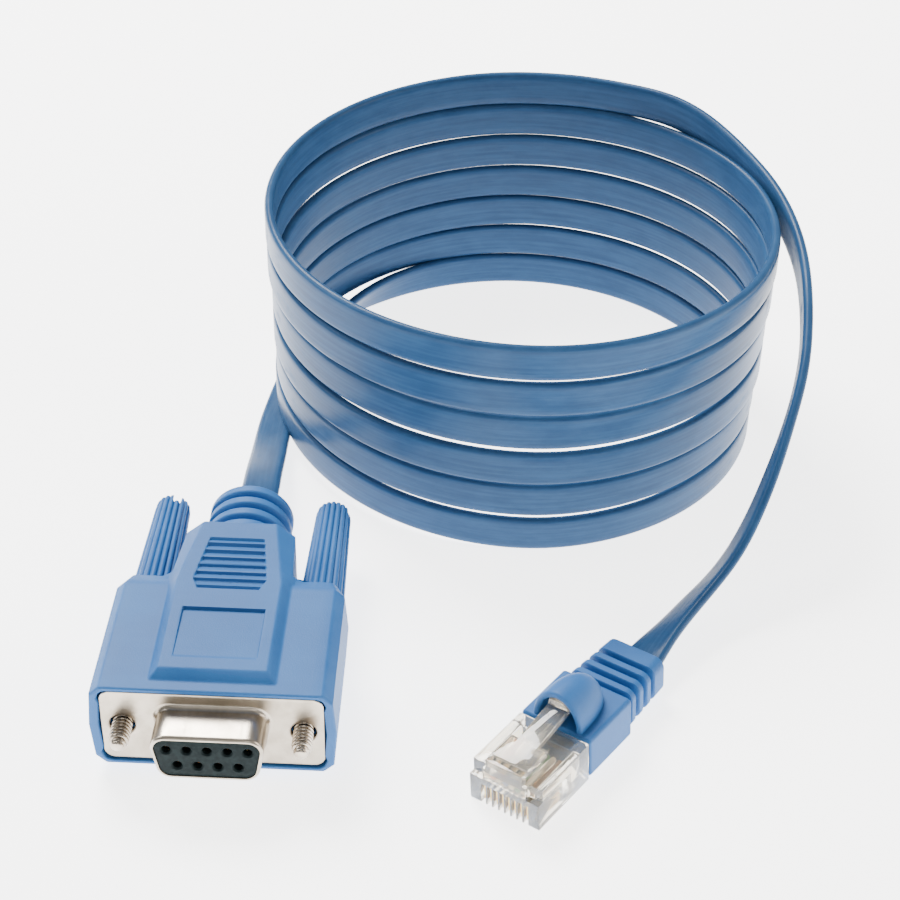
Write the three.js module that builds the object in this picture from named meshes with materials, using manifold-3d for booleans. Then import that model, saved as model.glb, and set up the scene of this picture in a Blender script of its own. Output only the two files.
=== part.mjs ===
// Console cable: a 9-way D connector in a moulded hood, a coiled flat cable and an 8-way modular plug.
// Millimetres, +Z up. The D connector faces -Y and lies on the floor; the origin is under its middle.

import * as THREE from 'three';
import { ConvexGeometry } from 'three/addons/geometries/ConvexGeometry.js';
import { mergeVertices } from 'three/addons/utils/BufferGeometryUtils.js';
import Module from 'manifold-3d';

const wasm = await Module();
wasm.setup();

// Gap between neighbouring pieces
const clearance = 0.3;

// Thumbscrews: steel screws with fluted grips
const screwSpacing = 24.99;
const screwRadius = 1.42;
const screwReach = 4.3;
const screwTip = 0.5;
const screwSeat = 9;
const flangeHoleRadius = 1.73;
const knobEndY = 47.8;
const knobFrontRadius = 3.4;
const knobRearRadius = 2.65;
const knobFluteCount = 18;
const knobFluteDepth = 0.32;
const knobEdge = 0.35;
const knobShoulder = 1.1;
const knobSlotWidth = 1.3;
const knobSlotDepth = 1.6;
const knobSlotTurns = [0.35, 1.25];

// D shell, insulator and socket contacts
const flangeEnd = 2.9;
const flangeHalfHeight = 6.27;
const flangeThickness = 0.8;
const flangeCornerRadius = 1.5;
const shellReach = 5.85;
const shellHalfWidth = 8.17;
const shellHalfHeight = 3.95;
const shellCornerRadius = 2.3;
const shellSlant = 0.176;
const shellWall = 0.5;
const shellFoot = 0.7;
const shellLip = 0.4;
const insulatorBack = 4.0;
const insulatorInset = 0.15;
const contactPitch = 2.77;
const contactRowSpacing = 2.84;
const contactTopCount = 5;
const contactHoleRadius = 0.62;
const contactChamberRadius = 0.98;
const contactChamberStart = 0.9;
const contactRadius = 0.68;
const contactBoreRadius = 0.5;
const contactLength = 6.5;
const contactFloor = 1;

// Hood of the D connector, measured from the front face of the connector's flange
const hoodEndWall = 0.95;
const hoodTaper = 0.2;
const hoodDraft = 0.45;
const hoodHalfHeight = 7.25;
const hoodCornerCut = 1.4;
const rimLip = 0.25;
const shoulderY = 21.7;
const shoulderEndY = 24.2;
const shoulderDrop = 0.95;
const shoulderInset = 1.6;
const plateauHeight = 1.35;
const plateauSlope = 1.25;
const plateauFrontY = 1.65;
const plateauHalfWidth = 8.75;
const neckEndY = 34.3;
const neckStartHalfWidth = 8.7;
const neckFootDrop = 0.95;
const neckEndHalfWidth = 8.05;
const neckTopEndHalfWidth = 5.4;
const pocketDepth = 1.2;

// Bare label panel and ribbed grip sunk into the plateau
const labelHalfWidth = 5.85;
const labelFrontY = 5.3;
const labelBackY = 15.3;
const labelDepth = 0.45;
const labelFrontDepth = 0.12;
const gripFrontY = 19.5;
const gripWideY = 21.6;
const gripBackY = 30.5;
const gripFrontHalfWidth = 4.4;
const gripWideHalfWidth = 5.25;
const gripBackHalfWidth = 4.0;
const gripDepth = 0.7;
const gripRibCount = 7;
const gripRibTop = 0.1;

// Ringed strain relief behind the hood
const reliefRingCount = 4;
const reliefRingPitch = 2.66;
const reliefRingWidth = 2.1;
const reliefRingRadius = 6.45;
const reliefCoreRadius = 5.3;
const reliefEdge = 0.45;
const reliefFirstRingY = 36.1;

// Modular plug, in its own frame: nose at y = 0, underside at z = 0, latch on top
const plugX = 40.44;
const plugY = -5.62;
const plugLift = 0.44;
const plugYaw = -34.5;
const plugRoll = -4;
const plugHalfWidth = 5.8;
const plugHeight = 6.6;
const plugBootY = 12.4;
const plugTailHalfWidth = 5.0;
const plugTailInset = 0.6;
const plugTailY = 20;
const noseHalfWidth = 3.6;
const noseShoulderZ = 4.5;
const noseShoulderDepth = 1.0;
const noseWall = 1.2;
const bladePitch = 1.02;
const bladeCount = 8;
const bladeSlotWidth = 0.72;
const bladeSlotHeight = 3.4;
const bladeSlotBack = 6.6;
const bladeThickness = 0.3;
const bladeSetback = 0.5;
const bladeBottom = 0.45;
const wireRadius = 0.42;
const wireStartY = 1.6;
const wireEndY = 8.2;
const wireFloorZ = 3.75;
const jacketStartY = 8.7;
const jacketZ = 3.05;

// Spring latch of the modular plug
const latchHalfWidth = 3.0;
const latchThickness = 1.1;
const latchTopZ = 8.4;
const latchShoulderY = 6.2;
const latchTongueHalfWidth = 1.6;
const latchEndY = 13.7;
const latchRise = 1.5;
const latchLip = 0.7;
const latchLipLength = 0.9;

// Moulded boot over the plug's rear
const bootHalfWidth = 5.85;
const bootHeight = 6.9;
const bootCornerRadius = 0.9;
const bootBodyEndY = 22.9;
const bootRibCount = 3;
const bootRibPitch = 2.15;
const bootRibWidth = 1.25;
const bootRibHalfWidth = 5.35;
const bootRibInset = 0.25;
const bootRibRadius = 2.0;
const bootCoreInset = 0.95;
const bootEndY = 33.3;
const bubbleHalfWidth = 4.1;
const bubbleHeight = 5.5;
const bubbleLength = 9;
const bubbleFrontY = 12.7;
const bubbleWall = 0.85;
const bubblePower = 2.6;

// Flat cable
const cableWidth = 6.05;
const cableThickness = 1.5;
const coilX = 40.07;
const coilY = 90.5;
const coilTopRadius = 41.0;
const coilBottomRadius = 40.0;
const coilHeight = 40.3;

// Worked out from the sizes above
const screwX = screwSpacing / 2;
const flangeHalfWidth = screwX + flangeEnd;
const hoodFrontHalfWidth = flangeHalfWidth + clearance + hoodEndWall;
const hoodRearHalfWidth = hoodFrontHalfWidth - hoodTaper;
const plateauTop = hoodHalfHeight + plateauHeight;
const flangeY = (shellReach - knobEndY) / 2;
const knobStartY = shoulderEndY + clearance;
const reliefStartY = neckEndY + clearance;
const reliefEndY = reliefFirstRingY + (reliefRingCount - 1) * reliefRingPitch + reliefRingWidth;

// Routes of the cable outside the coil, chosen by hand from the photograph.
// Each row is x, y from the flange, z from the floor and the section's tilt in degrees: 0 is flat, 90 on edge.
// The tilt is seen looking away from the D connector along the cable, with the right edge rising.
const hoodLeadRoute = [
  [0.3, 46.6, 8.6, 0],
  [0.3, 50.0, 8.4, 0],
  [0.2, 55.0, 7.5, 0],
  [0.0, 60.0, 6.2, 1],
  [-0.15, 65.0, 4.7, 4],
  [-0.3, 70.0, 3.3, 8],
  [-0.4, 75.0, 2.3, 10],
];
const plugLeadRoute = [
  [59.4, 21.9, 3.5, 176],
  [62.1, 26.5, 3.75, 156],
  [65.1, 30.9, 4.2, 142],
  [68.2, 34.95, 5.1, 137],
  [71.3, 38.5, 6.6, 132],
  [73.8, 41.5, 8.5, 128],
  [77.2, 46.5, 12.9, 120],
  [79.8, 51.4, 17.5, 113],
  [82.0, 56.5, 22.1, 105],
  [83.9, 62.4, 26.2, 99],
  [85.1, 69.6, 29.6, 92],
  [85.4, 77.9, 32.8, 90],
  [84.9, 89.4, 35.1, 90],
  [81.9, 99.7, 36.9, 90],
  [77.2, 109.9, 38.2, 90],
  [70.1, 120.6, 39.2, 90],
  [64.3, 125.2, 39.8, 90],
];
const leadStepLength = 3.0;

// Colours seen in the photograph
const paint = {
  hood: { color: 0x6f9bcf, roughness: 0.55, metalness: 0 },
  cable: { color: 0x4a7dbd, roughness: 0.42, metalness: 0 },
  nickel: { color: 0xc9c0b4, roughness: 0.3, metalness: 1 },
  steel: { color: 0xb8b2a8, roughness: 0.28, metalness: 1 },
  insulator: { color: 0x2b3a3d, roughness: 0.6, metalness: 0 },
  gold: { color: 0xd8b25a, roughness: 0.25, metalness: 1 },
  clear: { color: 0xe9e6e0, roughness: 0.12, metalness: 0, transparent: true, opacity: 0.45 },
};
const wireColours = [0xf2e3d2, 0xe08a3a, 0xe6efe2, 0x3f67b0, 0xe3e8f2, 0x4f9a58, 0xefe6dd, 0x8a5a3a];

// A closed geometry as a solid that can be cut and joined
function solid(geometry) {
  const bare = geometry.clone();
  for (const name of Object.keys(bare.attributes)) {
    if (name !== 'position') bare.deleteAttribute(name);
  }
  const merged = mergeVertices(bare.index ? bare.toNonIndexed() : bare, 1e-4);
  const mesh = new wasm.Mesh({
    numProp: 3,
    vertProperties: new Float32Array(merged.attributes.position.array),
    triVerts: new Uint32Array(merged.index.array),
  });
  mesh.merge();
  return new wasm.Manifold(mesh);
}

// A solid back as a geometry
function geometryOf(body) {
  const mesh = body.getMesh();
  const geometry = new THREE.BufferGeometry();
  geometry.setAttribute('position', new THREE.BufferAttribute(new Float32Array(mesh.vertProperties), 3));
  geometry.setIndex(new THREE.BufferAttribute(new Uint32Array(mesh.triVerts), 1));
  geometry.computeVertexNormals();
  return geometry;
}

function piece(name, body, look) {
  const geometry = body.isBufferGeometry ? body : geometryOf(body);
  const mesh = new THREE.Mesh(geometry, new THREE.MeshStandardMaterial(look));
  mesh.name = name;
  return mesh;
}

// A box between two corners
function box(x0, x1, y0, y1, z0, z1) {
  const geometry = new THREE.BoxGeometry(x1 - x0, y1 - y0, z1 - z0);
  geometry.translate((x0 + x1) / 2, (y0 + y1) / 2, (z0 + z1) / 2);
  return solid(geometry);
}

// The convex solid around a set of points
function hull(points) {
  return solid(new ConvexGeometry(points.map(([x, y, z]) => new THREE.Vector3(x, y, z))));
}

// A shape drawn in x and z, extruded from y0 to y1
function bar(shape, y0, y1, curveSegments = 5) {
  const geometry = new THREE.ExtrudeGeometry(shape, { depth: y1 - y0, bevelEnabled: false, curveSegments });
  geometry.rotateX(Math.PI / 2);
  geometry.translate(0, y1, 0);
  return solid(geometry);
}

// A round solid about the y axis from pairs of radius and y
function turned(profile, segments) {
  const points = profile.map(([radius, y]) => new THREE.Vector2(radius, y));
  return solid(new THREE.LatheGeometry(points, segments));
}

// A rectangle with round corners
function roundedRectangle(halfWidth, z0, z1, radius) {
  const shape = new THREE.Shape();
  shape.moveTo(-halfWidth + radius, z0);
  shape.lineTo(halfWidth - radius, z0);
  shape.absarc(halfWidth - radius, z0 + radius, radius, -Math.PI / 2, 0);
  shape.lineTo(halfWidth, z1 - radius);
  shape.absarc(halfWidth - radius, z1 - radius, radius, 0, Math.PI / 2);
  shape.lineTo(-halfWidth + radius, z1);
  shape.absarc(-halfWidth + radius, z1 - radius, radius, Math.PI / 2, Math.PI);
  shape.lineTo(-halfWidth, z0 + radius);
  shape.absarc(-halfWidth + radius, z0 + radius, radius, Math.PI, Math.PI * 1.5);
  return shape;
}

// The D outline: straight top and bottom, slanted sides, round corners; offset moves it inwards
function dOutline(offset) {
  const radius = Math.max(shellCornerRadius - offset, 0.4);
  const top = shellHalfHeight - offset;
  const slantLength = Math.hypot(1, shellSlant);
  const half = (z) => shellHalfWidth - offset * slantLength - (shellHalfHeight - z) * shellSlant;
  const slant = Math.atan(shellSlant);
  const topCentre = half(top - radius) - radius * slantLength;
  const bottomCentre = half(-top + radius) - radius * slantLength;
  const shape = new THREE.Shape();
  shape.moveTo(-bottomCentre, -top);
  shape.lineTo(bottomCentre, -top);
  shape.absarc(bottomCentre, -top + radius, radius, -Math.PI / 2, -slant);
  shape.absarc(topCentre, top - radius, radius, -slant, Math.PI / 2);
  shape.lineTo(-topCentre, top);
  shape.absarc(-topCentre, top - radius, radius, Math.PI / 2, Math.PI + slant);
  shape.absarc(-bottomCentre, -top + radius, radius, Math.PI + slant, Math.PI * 1.5);
  return shape;
}

// Places of the nine contacts, the row of five on top
function contactPlaces() {
  const places = [];
  for (const [count, z] of [[contactTopCount, contactRowSpacing / 2], [contactTopCount - 1, -contactRowSpacing / 2]]) {
    for (let i = 0; i < count; i++) {
      places.push([(i - (count - 1) / 2) * contactPitch, z]);
    }
  }
  return places;
}

// Corners of a cut-cornered section at one y, widest along its middle where the mould parts
function hoodSection(y, halfWidth, halfHeight) {
  const points = [];
  for (const sx of [-1, 1]) {
    points.push([sx * (halfWidth + hoodDraft), y, 0]);
    for (const sz of [-1, 1]) {
      points.push([sx * halfWidth, y, sz * (halfHeight - hoodCornerCut)]);
      points.push([sx * (halfWidth - hoodCornerCut), y, sz * halfHeight]);
    }
  }
  return points;
}

// The raised plateau and neck on one face, side is 1 for the top and -1 for the underside
function plateau(side) {
  const topHalf = plateauHalfWidth - plateauSlope;
  const front = [];
  const rear = [];
  for (const sx of [-1, 1]) {
    front.push([sx * plateauHalfWidth, plateauFrontY, side * hoodHalfHeight]);
    front.push([sx * plateauHalfWidth, plateauFrontY, 0]);
    front.push([sx * topHalf, plateauFrontY + plateauSlope, side * plateauTop]);
    front.push([sx * topHalf, shoulderY, side * plateauTop]);
    front.push([sx * plateauHalfWidth, shoulderY, side * hoodHalfHeight]);
    front.push([sx * plateauHalfWidth, shoulderY, 0]);
    rear.push([sx * topHalf, shoulderY - 0.5, side * plateauTop]);
    rear.push([sx * plateauHalfWidth, shoulderY - 0.5, side * hoodHalfHeight]);
    rear.push([sx * plateauHalfWidth, shoulderY - 0.5, 0]);
    rear.push([sx * neckStartHalfWidth, shoulderEndY, side * hoodHalfHeight]);
    rear.push([sx * neckStartHalfWidth, shoulderEndY, 0]);
    rear.push([sx * neckEndHalfWidth, neckEndY, side * (hoodHalfHeight - neckFootDrop)]);
    rear.push([sx * neckEndHalfWidth, neckEndY, 0]);
    rear.push([sx * neckTopEndHalfWidth, neckEndY, side * plateauTop]);
  }
  return hull(front).add(hull(rear));
}

// The wedge-shaped label panel, deepest at its rear edge
function labelCut() {
  const points = [];
  for (const sx of [-1, 1]) {
    points.push([sx * labelHalfWidth, labelFrontY, plateauTop - labelFrontDepth]);
    points.push([sx * labelHalfWidth, labelBackY, plateauTop - labelDepth]);
    points.push([sx * labelHalfWidth, labelFrontY, plateauTop + 1]);
    points.push([sx * labelHalfWidth, labelBackY, plateauTop + 1]);
  }
  return hull(points);
}

// The grip's outline as a solid between two heights
function gripBlock(z0, z1) {
  const shape = new THREE.Shape();
  shape.moveTo(-gripFrontHalfWidth, gripFrontY);
  shape.lineTo(gripFrontHalfWidth, gripFrontY);
  shape.lineTo(gripWideHalfWidth, gripWideY);
  shape.lineTo(gripBackHalfWidth, gripBackY);
  shape.lineTo(-gripBackHalfWidth, gripBackY);
  shape.lineTo(-gripWideHalfWidth, gripWideY);
  const geometry = new THREE.ExtrudeGeometry(shape, { depth: z1 - z0, bevelEnabled: false });
  geometry.translate(0, 0, z0);
  return solid(geometry);
}

// Sunken grip: the pocket to cut, with sloped ribs left standing across it
function gripCut() {
  const floor = plateauTop - gripDepth;
  const crest = plateauTop - gripRibTop;
  const pitch = (gripBackY - gripFrontY) / gripRibCount;
  let ribs = null;
  for (let i = 0; i < gripRibCount; i++) {
    const y = gripFrontY + (i + 0.5) * pitch;
    const points = [];
    for (const x of [-gripWideHalfWidth - 1, gripWideHalfWidth + 1]) {
      points.push([x, y - pitch * 0.38, floor - 0.2]);
      points.push([x, y + pitch * 0.3, floor - 0.2]);
      points.push([x, y - pitch * 0.1, crest]);
      points.push([x, y + pitch * 0.14, crest]);
    }
    ribs = ribs ? ribs.add(hull(points)) : hull(points);
  }
  return gripBlock(floor, plateauTop + 1).subtract(ribs);
}

function makeHood() {
  const block = hull([
    ...hoodSection(-rimLip, hoodFrontHalfWidth, hoodHalfHeight),
    ...hoodSection(shoulderY, hoodRearHalfWidth, hoodHalfHeight),
    ...hoodSection(shoulderEndY, hoodRearHalfWidth - shoulderInset, hoodHalfHeight - shoulderDrop),
  ]);
  const grip = gripCut();
  let body = block.add(plateau(1)).add(plateau(-1));
  body = body.subtract(labelCut()).subtract(grip).subtract(grip.mirror([0, 0, 1]));
  const halfWidth = flangeHalfWidth + clearance;
  const halfHeight = flangeHalfHeight + clearance;
  const pocket = roundedRectangle(halfWidth, -halfHeight, halfHeight, flangeCornerRadius);
  body = body.subtract(bar(pocket, -1, pocketDepth));
  body = body.subtract(bar(dOutline(-clearance), 0, insulatorBack + clearance));
  for (const x of [-screwX, screwX]) {
    const bore = turned([[0, -1], [flangeHoleRadius, -1], [flangeHoleRadius, 40], [0, 40]], 20);
    body = body.subtract(bore.translate([x, 0, 0]));
  }
  return piece('hood', body, paint.hood);
}

function makeStrainRelief() {
  const profile = [[0, reliefStartY], [reliefCoreRadius, reliefStartY]];
  for (let i = 0; i < reliefRingCount; i++) {
    const y = reliefFirstRingY + i * reliefRingPitch;
    profile.push([reliefCoreRadius, y]);
    profile.push([reliefRingRadius - reliefEdge, y]);
    profile.push([reliefRingRadius, y + reliefEdge]);
    profile.push([reliefRingRadius, y + reliefRingWidth - reliefEdge]);
    profile.push([reliefRingRadius - reliefEdge, y + reliefRingWidth]);
    if (i < reliefRingCount - 1) profile.push([reliefCoreRadius, y + reliefRingWidth]);
  }
  profile.push([0, reliefEndY]);
  return piece('strain_relief', turned(profile, 40), paint.hood);
}

// The front of the D shell, drawn in towards its lip
function shellFront() {
  const outline = dOutline(0).getPoints(5);
  const points = [];
  for (const point of outline) {
    const inwards = 1 - shellLip / shellHalfHeight;
    points.push([point.x, -shellReach + shellLip, point.y]);
    points.push([point.x * (1 - shellLip / shellHalfWidth), -shellReach, point.y * inwards]);
  }
  return hull(points);
}

function makeShell() {
  const plate = roundedRectangle(flangeHalfWidth, -flangeHalfHeight, flangeHalfHeight, flangeCornerRadius);
  let body = bar(plate, 0, flangeThickness, 4);
  body = body.add(bar(dOutline(0), -shellReach + shellLip, flangeThickness));
  body = body.add(shellFront());
  body = body.add(bar(dOutline(-shellFoot / 2), -shellFoot / 2, flangeThickness));
  body = body.subtract(bar(dOutline(shellWall), -shellReach - 1, flangeThickness + 1));
  for (const x of [-screwX, screwX]) {
    const hole = turned([[0, -2], [flangeHoleRadius, -2], [flangeHoleRadius, 3], [0, 3]], 24);
    body = body.subtract(hole.translate([x, 0, 0]));
  }
  return piece('d_shell', body, paint.nickel);
}

function makeInsulator() {
  const front = -shellReach + insulatorInset;
  let body = bar(dOutline(shellWall + insulatorInset), front, insulatorBack);
  for (const [x, z] of contactPlaces()) {
    const chamberY = front + contactChamberStart;
    const hole = turned([
      [0, front - 1],
      [contactHoleRadius, front - 1],
      [contactHoleRadius, chamberY],
      [contactChamberRadius, chamberY],
      [contactChamberRadius, insulatorBack + 1],
      [0, insulatorBack + 1],
    ], 12);
    body = body.subtract(hole.translate([x, 0, z]));
  }
  return piece('insulator', body, paint.insulator);
}

function makeContact(index, x, z) {
  const start = -shellReach + insulatorInset + contactChamberStart + clearance;
  const back = start + contactLength;
  const body = turned([
    [contactBoreRadius, start],
    [contactRadius, start],
    [contactRadius, back],
    [0, back],
    [0, back - contactFloor],
    [contactBoreRadius, back - contactFloor],
    [contactBoreRadius, start],
  ], 12);
  return piece(`socket_contact_${index + 1}`, body.translate([x, 0, z]), paint.gold);
}

// Outline of the fluted grip at one radius
function flutedOutline(radius) {
  const shape = new THREE.Shape();
  const count = knobFluteCount * 4;
  for (let i = 0; i < count; i++) {
    const angle = (i / count) * Math.PI * 2;
    const r = radius - (i % 4 === 0 || i % 4 === 3 ? 0 : knobFluteDepth);
    if (i === 0) shape.moveTo(r, 0);
    else shape.lineTo(r * Math.cos(angle), r * Math.sin(angle));
  }
  return shape;
}

function makeKnob(name, x, slotTurn) {
  const length = knobEndY - knobStartY;
  const geometry = new THREE.ExtrudeGeometry(flutedOutline(knobFrontRadius), {
    depth: length,
    bevelEnabled: false,
    steps: 1,
  });
  const position = geometry.attributes.position;
  for (let i = 0; i < position.count; i++) {
    const share = position.getZ(i) / length;
    const scale = 1 + (knobRearRadius / knobFrontRadius - 1) * share;
    position.setXY(i, position.getX(i) * scale, position.getY(i) * scale);
  }
  geometry.rotateX(-Math.PI / 2);
  geometry.translate(0, knobStartY, 0);
  const edge = turned([
    [0, knobStartY - 1],
    [knobFrontRadius + 1, knobStartY - 1],
    [knobFrontRadius + 1, knobEndY - knobShoulder],
    [knobRearRadius + 0.15, knobEndY - knobEdge],
    [knobRearRadius - knobEdge, knobEndY],
    [0, knobEndY],
  ], 32);
  const boreEnd = knobStartY + screwSeat + clearance;
  const boreRadius = screwRadius + clearance;
  const bore = turned([[0, knobStartY - 1], [boreRadius, knobStartY - 1], [boreRadius, boreEnd], [0, boreEnd]], 20);
  const slot = box(-knobSlotWidth / 2, knobSlotWidth / 2, knobEndY - knobSlotDepth, knobEndY + 1, -6, 6);
  const turn = THREE.MathUtils.radToDeg(slotTurn);
  const body = solid(geometry).intersect(edge).subtract(bore).subtract(slot.rotate([0, turn, 0]));
  return piece(name, body.translate([x, 0, 0]), paint.hood);
}

function makeScrew(name, x) {
  const end = knobStartY + screwSeat;
  const body = turned([
    [0, -screwReach],
    [screwRadius - screwTip, -screwReach],
    [screwRadius, -screwReach + screwTip],
    [screwRadius, end],
    [0, end],
  ], 20);
  return piece(name, body.translate([x, 0, 0]), paint.steel);
}

function makeDConnector() {
  const group = new THREE.Group();
  group.position.set(0, flangeY, plateauTop);
  group.add(makeHood(), makeStrainRelief(), makeShell(), makeInsulator());
  contactPlaces().forEach(([x, z], index) => group.add(makeContact(index, x, z)));
  group.add(makeKnob('thumbscrew_knob_left', -screwX, knobSlotTurns[0]));
  group.add(makeKnob('thumbscrew_knob_right', screwX, knobSlotTurns[1]));
  group.add(makeScrew('jackscrew_left', -screwX));
  group.add(makeScrew('jackscrew_right', screwX));
  return group;
}

// Middle of each blade and wire across the plug
function bladeX(index) {
  return (index - (bladeCount - 1) / 2) * bladePitch;
}

function makePlugBody() {
  let body = box(-plugHalfWidth, plugHalfWidth, 0, plugBootY - clearance, 0, plugHeight);
  const tail = [-plugTailHalfWidth, plugTailHalfWidth, 10, plugTailY, plugTailInset, plugHeight - plugTailInset];
  body = body.add(box(...tail));
  body = body.add(box(-latchHalfWidth, latchHalfWidth, 0, noseWall, 4, latchTopZ));
  for (const sx of [-1, 1]) {
    const near = sx * noseHalfWidth;
    const far = sx * (plugHalfWidth + 1);
    body = body.subtract(box(Math.min(near, far), Math.max(near, far), -1, noseShoulderDepth, noseShoulderZ, 10));
  }
  for (let i = 0; i < bladeCount; i++) {
    const x = bladeX(i);
    const half = bladeSlotWidth / 2;
    body = body.subtract(box(x - half, x + half, -1, bladeSlotBack, -1, bladeSlotHeight));
  }
  const wireHalf = bladeX(bladeCount - 1) + wireRadius + clearance;
  const wireTop = wireFloorZ + 2 * (wireRadius + clearance);
  const jacketHalf = cableWidth / 2 + clearance;
  const jacketRise = cableThickness / 2 + clearance;
  const jacketFront = jacketStartY - clearance;
  body = body.subtract(box(-wireHalf, wireHalf, wireStartY - clearance, jacketFront + 0.1, wireFloorZ, wireTop));
  const throatRise = Math.max(wireTop, jacketZ + jacketRise);
  body = body.subtract(box(-wireHalf, wireHalf, jacketFront, jacketFront + 2, jacketZ - jacketRise, throatRise));
  body = body.subtract(box(-jacketHalf, jacketHalf, jacketFront, plugTailY + 1, jacketZ - jacketRise, jacketZ + jacketRise));
  return piece('plug_body', body, paint.clear);
}

function makeBlade(index) {
  const x = bladeX(index);
  const half = bladeThickness / 2;
  const top = bladeSlotHeight - clearance;
  const body = box(x - half, x + half, bladeSetback, bladeSlotBack - clearance, bladeBottom, top);
  return piece(`plug_contact_${index + 1}`, body, paint.gold);
}

function makeWire(index) {
  const z = wireFloorZ + wireRadius + clearance;
  const wire = turned([[0, wireStartY], [wireRadius, wireStartY], [wireRadius, wireEndY], [0, wireEndY]], 8);
  const look = { color: wireColours[index], roughness: 0.5, metalness: 0 };
  return piece(`wire_${index + 1}`, wire.translate([bladeX(index), 0, z]), look);
}

function makeJacketEnd() {
  const half = cableThickness / 2;
  const section = roundedRectangle(cableWidth / 2, jacketZ - half, jacketZ + half, half * 0.9);
  return piece('jacket_end', bar(section, jacketStartY, bootEndY - clearance, 3), paint.cable);
}

// The latch's side outline, drawn in y and z, extruded across the plug
function latchSlice(halfWidth, outline) {
  const points = [];
  for (const x of [-halfWidth, halfWidth]) {
    for (const [y, z] of outline) points.push([x, y, z]);
  }
  return hull(points);
}

function makeLatch() {
  const root = noseWall + clearance;
  const bottom = latchTopZ - latchThickness;
  const endTop = latchTopZ + latchRise;
  const plate = latchSlice(latchHalfWidth, [
    [root, bottom],
    [root, latchTopZ],
    [latchShoulderY, bottom],
    [latchShoulderY, latchTopZ],
  ]);
  const tongue = latchSlice(latchTongueHalfWidth, [
    [latchShoulderY - 2, bottom],
    [latchShoulderY - 2, latchTopZ - 0.1],
    [latchEndY, endTop - latchThickness],
    [latchEndY, endTop],
  ]);
  const lip = latchSlice(latchTongueHalfWidth, [
    [latchEndY - latchLipLength, endTop - latchThickness],
    [latchEndY, endTop - latchThickness],
    [latchEndY - latchLipLength / 2, endTop + latchLip],
    [latchEndY, endTop + latchLip],
  ]);
  return piece('latch', plate.add(tongue).add(lip), paint.clear);
}

// Half of a stretched dome on the boot, from its open mouth back
function dome(halfWidth, height, length, baseZ) {
  const rings = 9;
  const spokes = 14;
  const points = [];
  for (let i = 0; i <= rings; i++) {
    const share = Math.sin((i / rings) * Math.PI * 0.5);
    const scale = Math.max(1 - share ** bubblePower, 0) ** (1 / bubblePower);
    for (let j = 0; j <= spokes; j++) {
      const angle = (j / spokes) * Math.PI;
      const x = halfWidth * scale * Math.cos(angle);
      const z = baseZ + height * scale * Math.sin(angle);
      points.push([x, bubbleFrontY + length * share, z]);
    }
    points.push([halfWidth * scale, bubbleFrontY + length * share, baseZ - 0.5]);
    points.push([-halfWidth * scale, bubbleFrontY + length * share, baseZ - 0.5]);
  }
  return hull(points);
}

function makeBoot() {
  const bodySection = roundedRectangle(bootHalfWidth, 0, bootHeight, bootCornerRadius);
  let body = bar(bodySection, plugBootY, bootBodyEndY, 4);
  const coreHalf = bootRibHalfWidth - bootCoreInset;
  const coreSection = roundedRectangle(coreHalf, bootRibInset + bootCoreInset, bootHeight - bootCoreInset, 1.2);
  body = body.add(bar(coreSection, bootBodyEndY - 1, bootEndY - 1));
  for (let i = 0; i <= bootRibCount; i++) {
    const start = bootBodyEndY + (bootRibPitch - bootRibWidth) + i * bootRibPitch;
    const end = i < bootRibCount ? start + bootRibWidth : bootEndY;
    const half = bootRibHalfWidth - i * 0.12;
    const section = roundedRectangle(half, bootRibInset, bootHeight - bootRibInset - i * 0.08, bootRibRadius);
    body = body.add(bar(section, start, end));
  }
  const cover = dome(bubbleHalfWidth, bubbleHeight, bubbleLength, bootHeight);
  const inside = dome(bubbleHalfWidth - bubbleWall, bubbleHeight - bubbleWall, bubbleLength - 2 * bubbleWall, bootHeight);
  const roof = box(-20, 20, plugBootY - 1, bubbleFrontY + bubbleLength, bootHeight - clearance, 20);
  body = body.add(cover).subtract(inside.intersect(roof));
  const tail = [plugTailHalfWidth + clearance, plugTailInset - clearance, plugHeight - plugTailInset + clearance];
  body = body.subtract(box(-tail[0], tail[0], plugBootY - 1, plugTailY + clearance, tail[1], tail[2]));
  const channelHalf = cableWidth / 2 + clearance;
  const channelRise = cableThickness / 2 + clearance;
  const channel = [-channelHalf, channelHalf, plugBootY, bootEndY + 1, jacketZ - channelRise, jacketZ + channelRise];
  body = body.subtract(box(...channel));
  return piece('boot', body, paint.hood);
}

function makePlug() {
  const group = new THREE.Group();
  group.position.set(plugX, plugY + flangeY, plugLift);
  const radians = THREE.MathUtils.degToRad;
  group.rotation.set(0, radians(plugRoll), radians(plugYaw), 'ZYX');
  group.add(makePlugBody(), makeLatch(), makeBoot(), makeJacketEnd());
  for (let i = 0; i < bladeCount; i++) group.add(makeBlade(i), makeWire(i));
  return group;
}

// A curve that carries the flat section's tilt at each of its points
class FlatCableCurve extends THREE.CatmullRomCurve3 {
  constructor(route, fromPlug) {
    super(route.map(([x, y, z]) => new THREE.Vector3(x, y, z)), false, 'centripetal');
    this.tilts = route.map((row) => THREE.MathUtils.degToRad(row[3]));
    this.turn = fromPlug ? 1 : -1;
  }

  tiltAt(u) {
    const place = this.getUtoTmapping(u) * (this.tilts.length - 1);
    const index = Math.min(Math.floor(place), this.tilts.length - 2);
    return THREE.MathUtils.lerp(this.tilts[index], this.tilts[index + 1], place - index);
  }

  computeFrenetFrames(segments) {
    const frames = { tangents: [], normals: [], binormals: [] };
    const up = new THREE.Vector3(0, 0, 1);
    for (let i = 0; i <= segments; i++) {
      const u = i / segments;
      const tangent = this.getTangentAt(u);
      const side = tangent.clone().cross(up).normalize();
      const normal = side.applyAxisAngle(tangent, this.turn * this.tiltAt(u));
      frames.tangents.push(tangent);
      frames.normals.push(normal);
      frames.binormals.push(tangent.clone().cross(normal));
    }
    return frames;
  }
}

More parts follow.
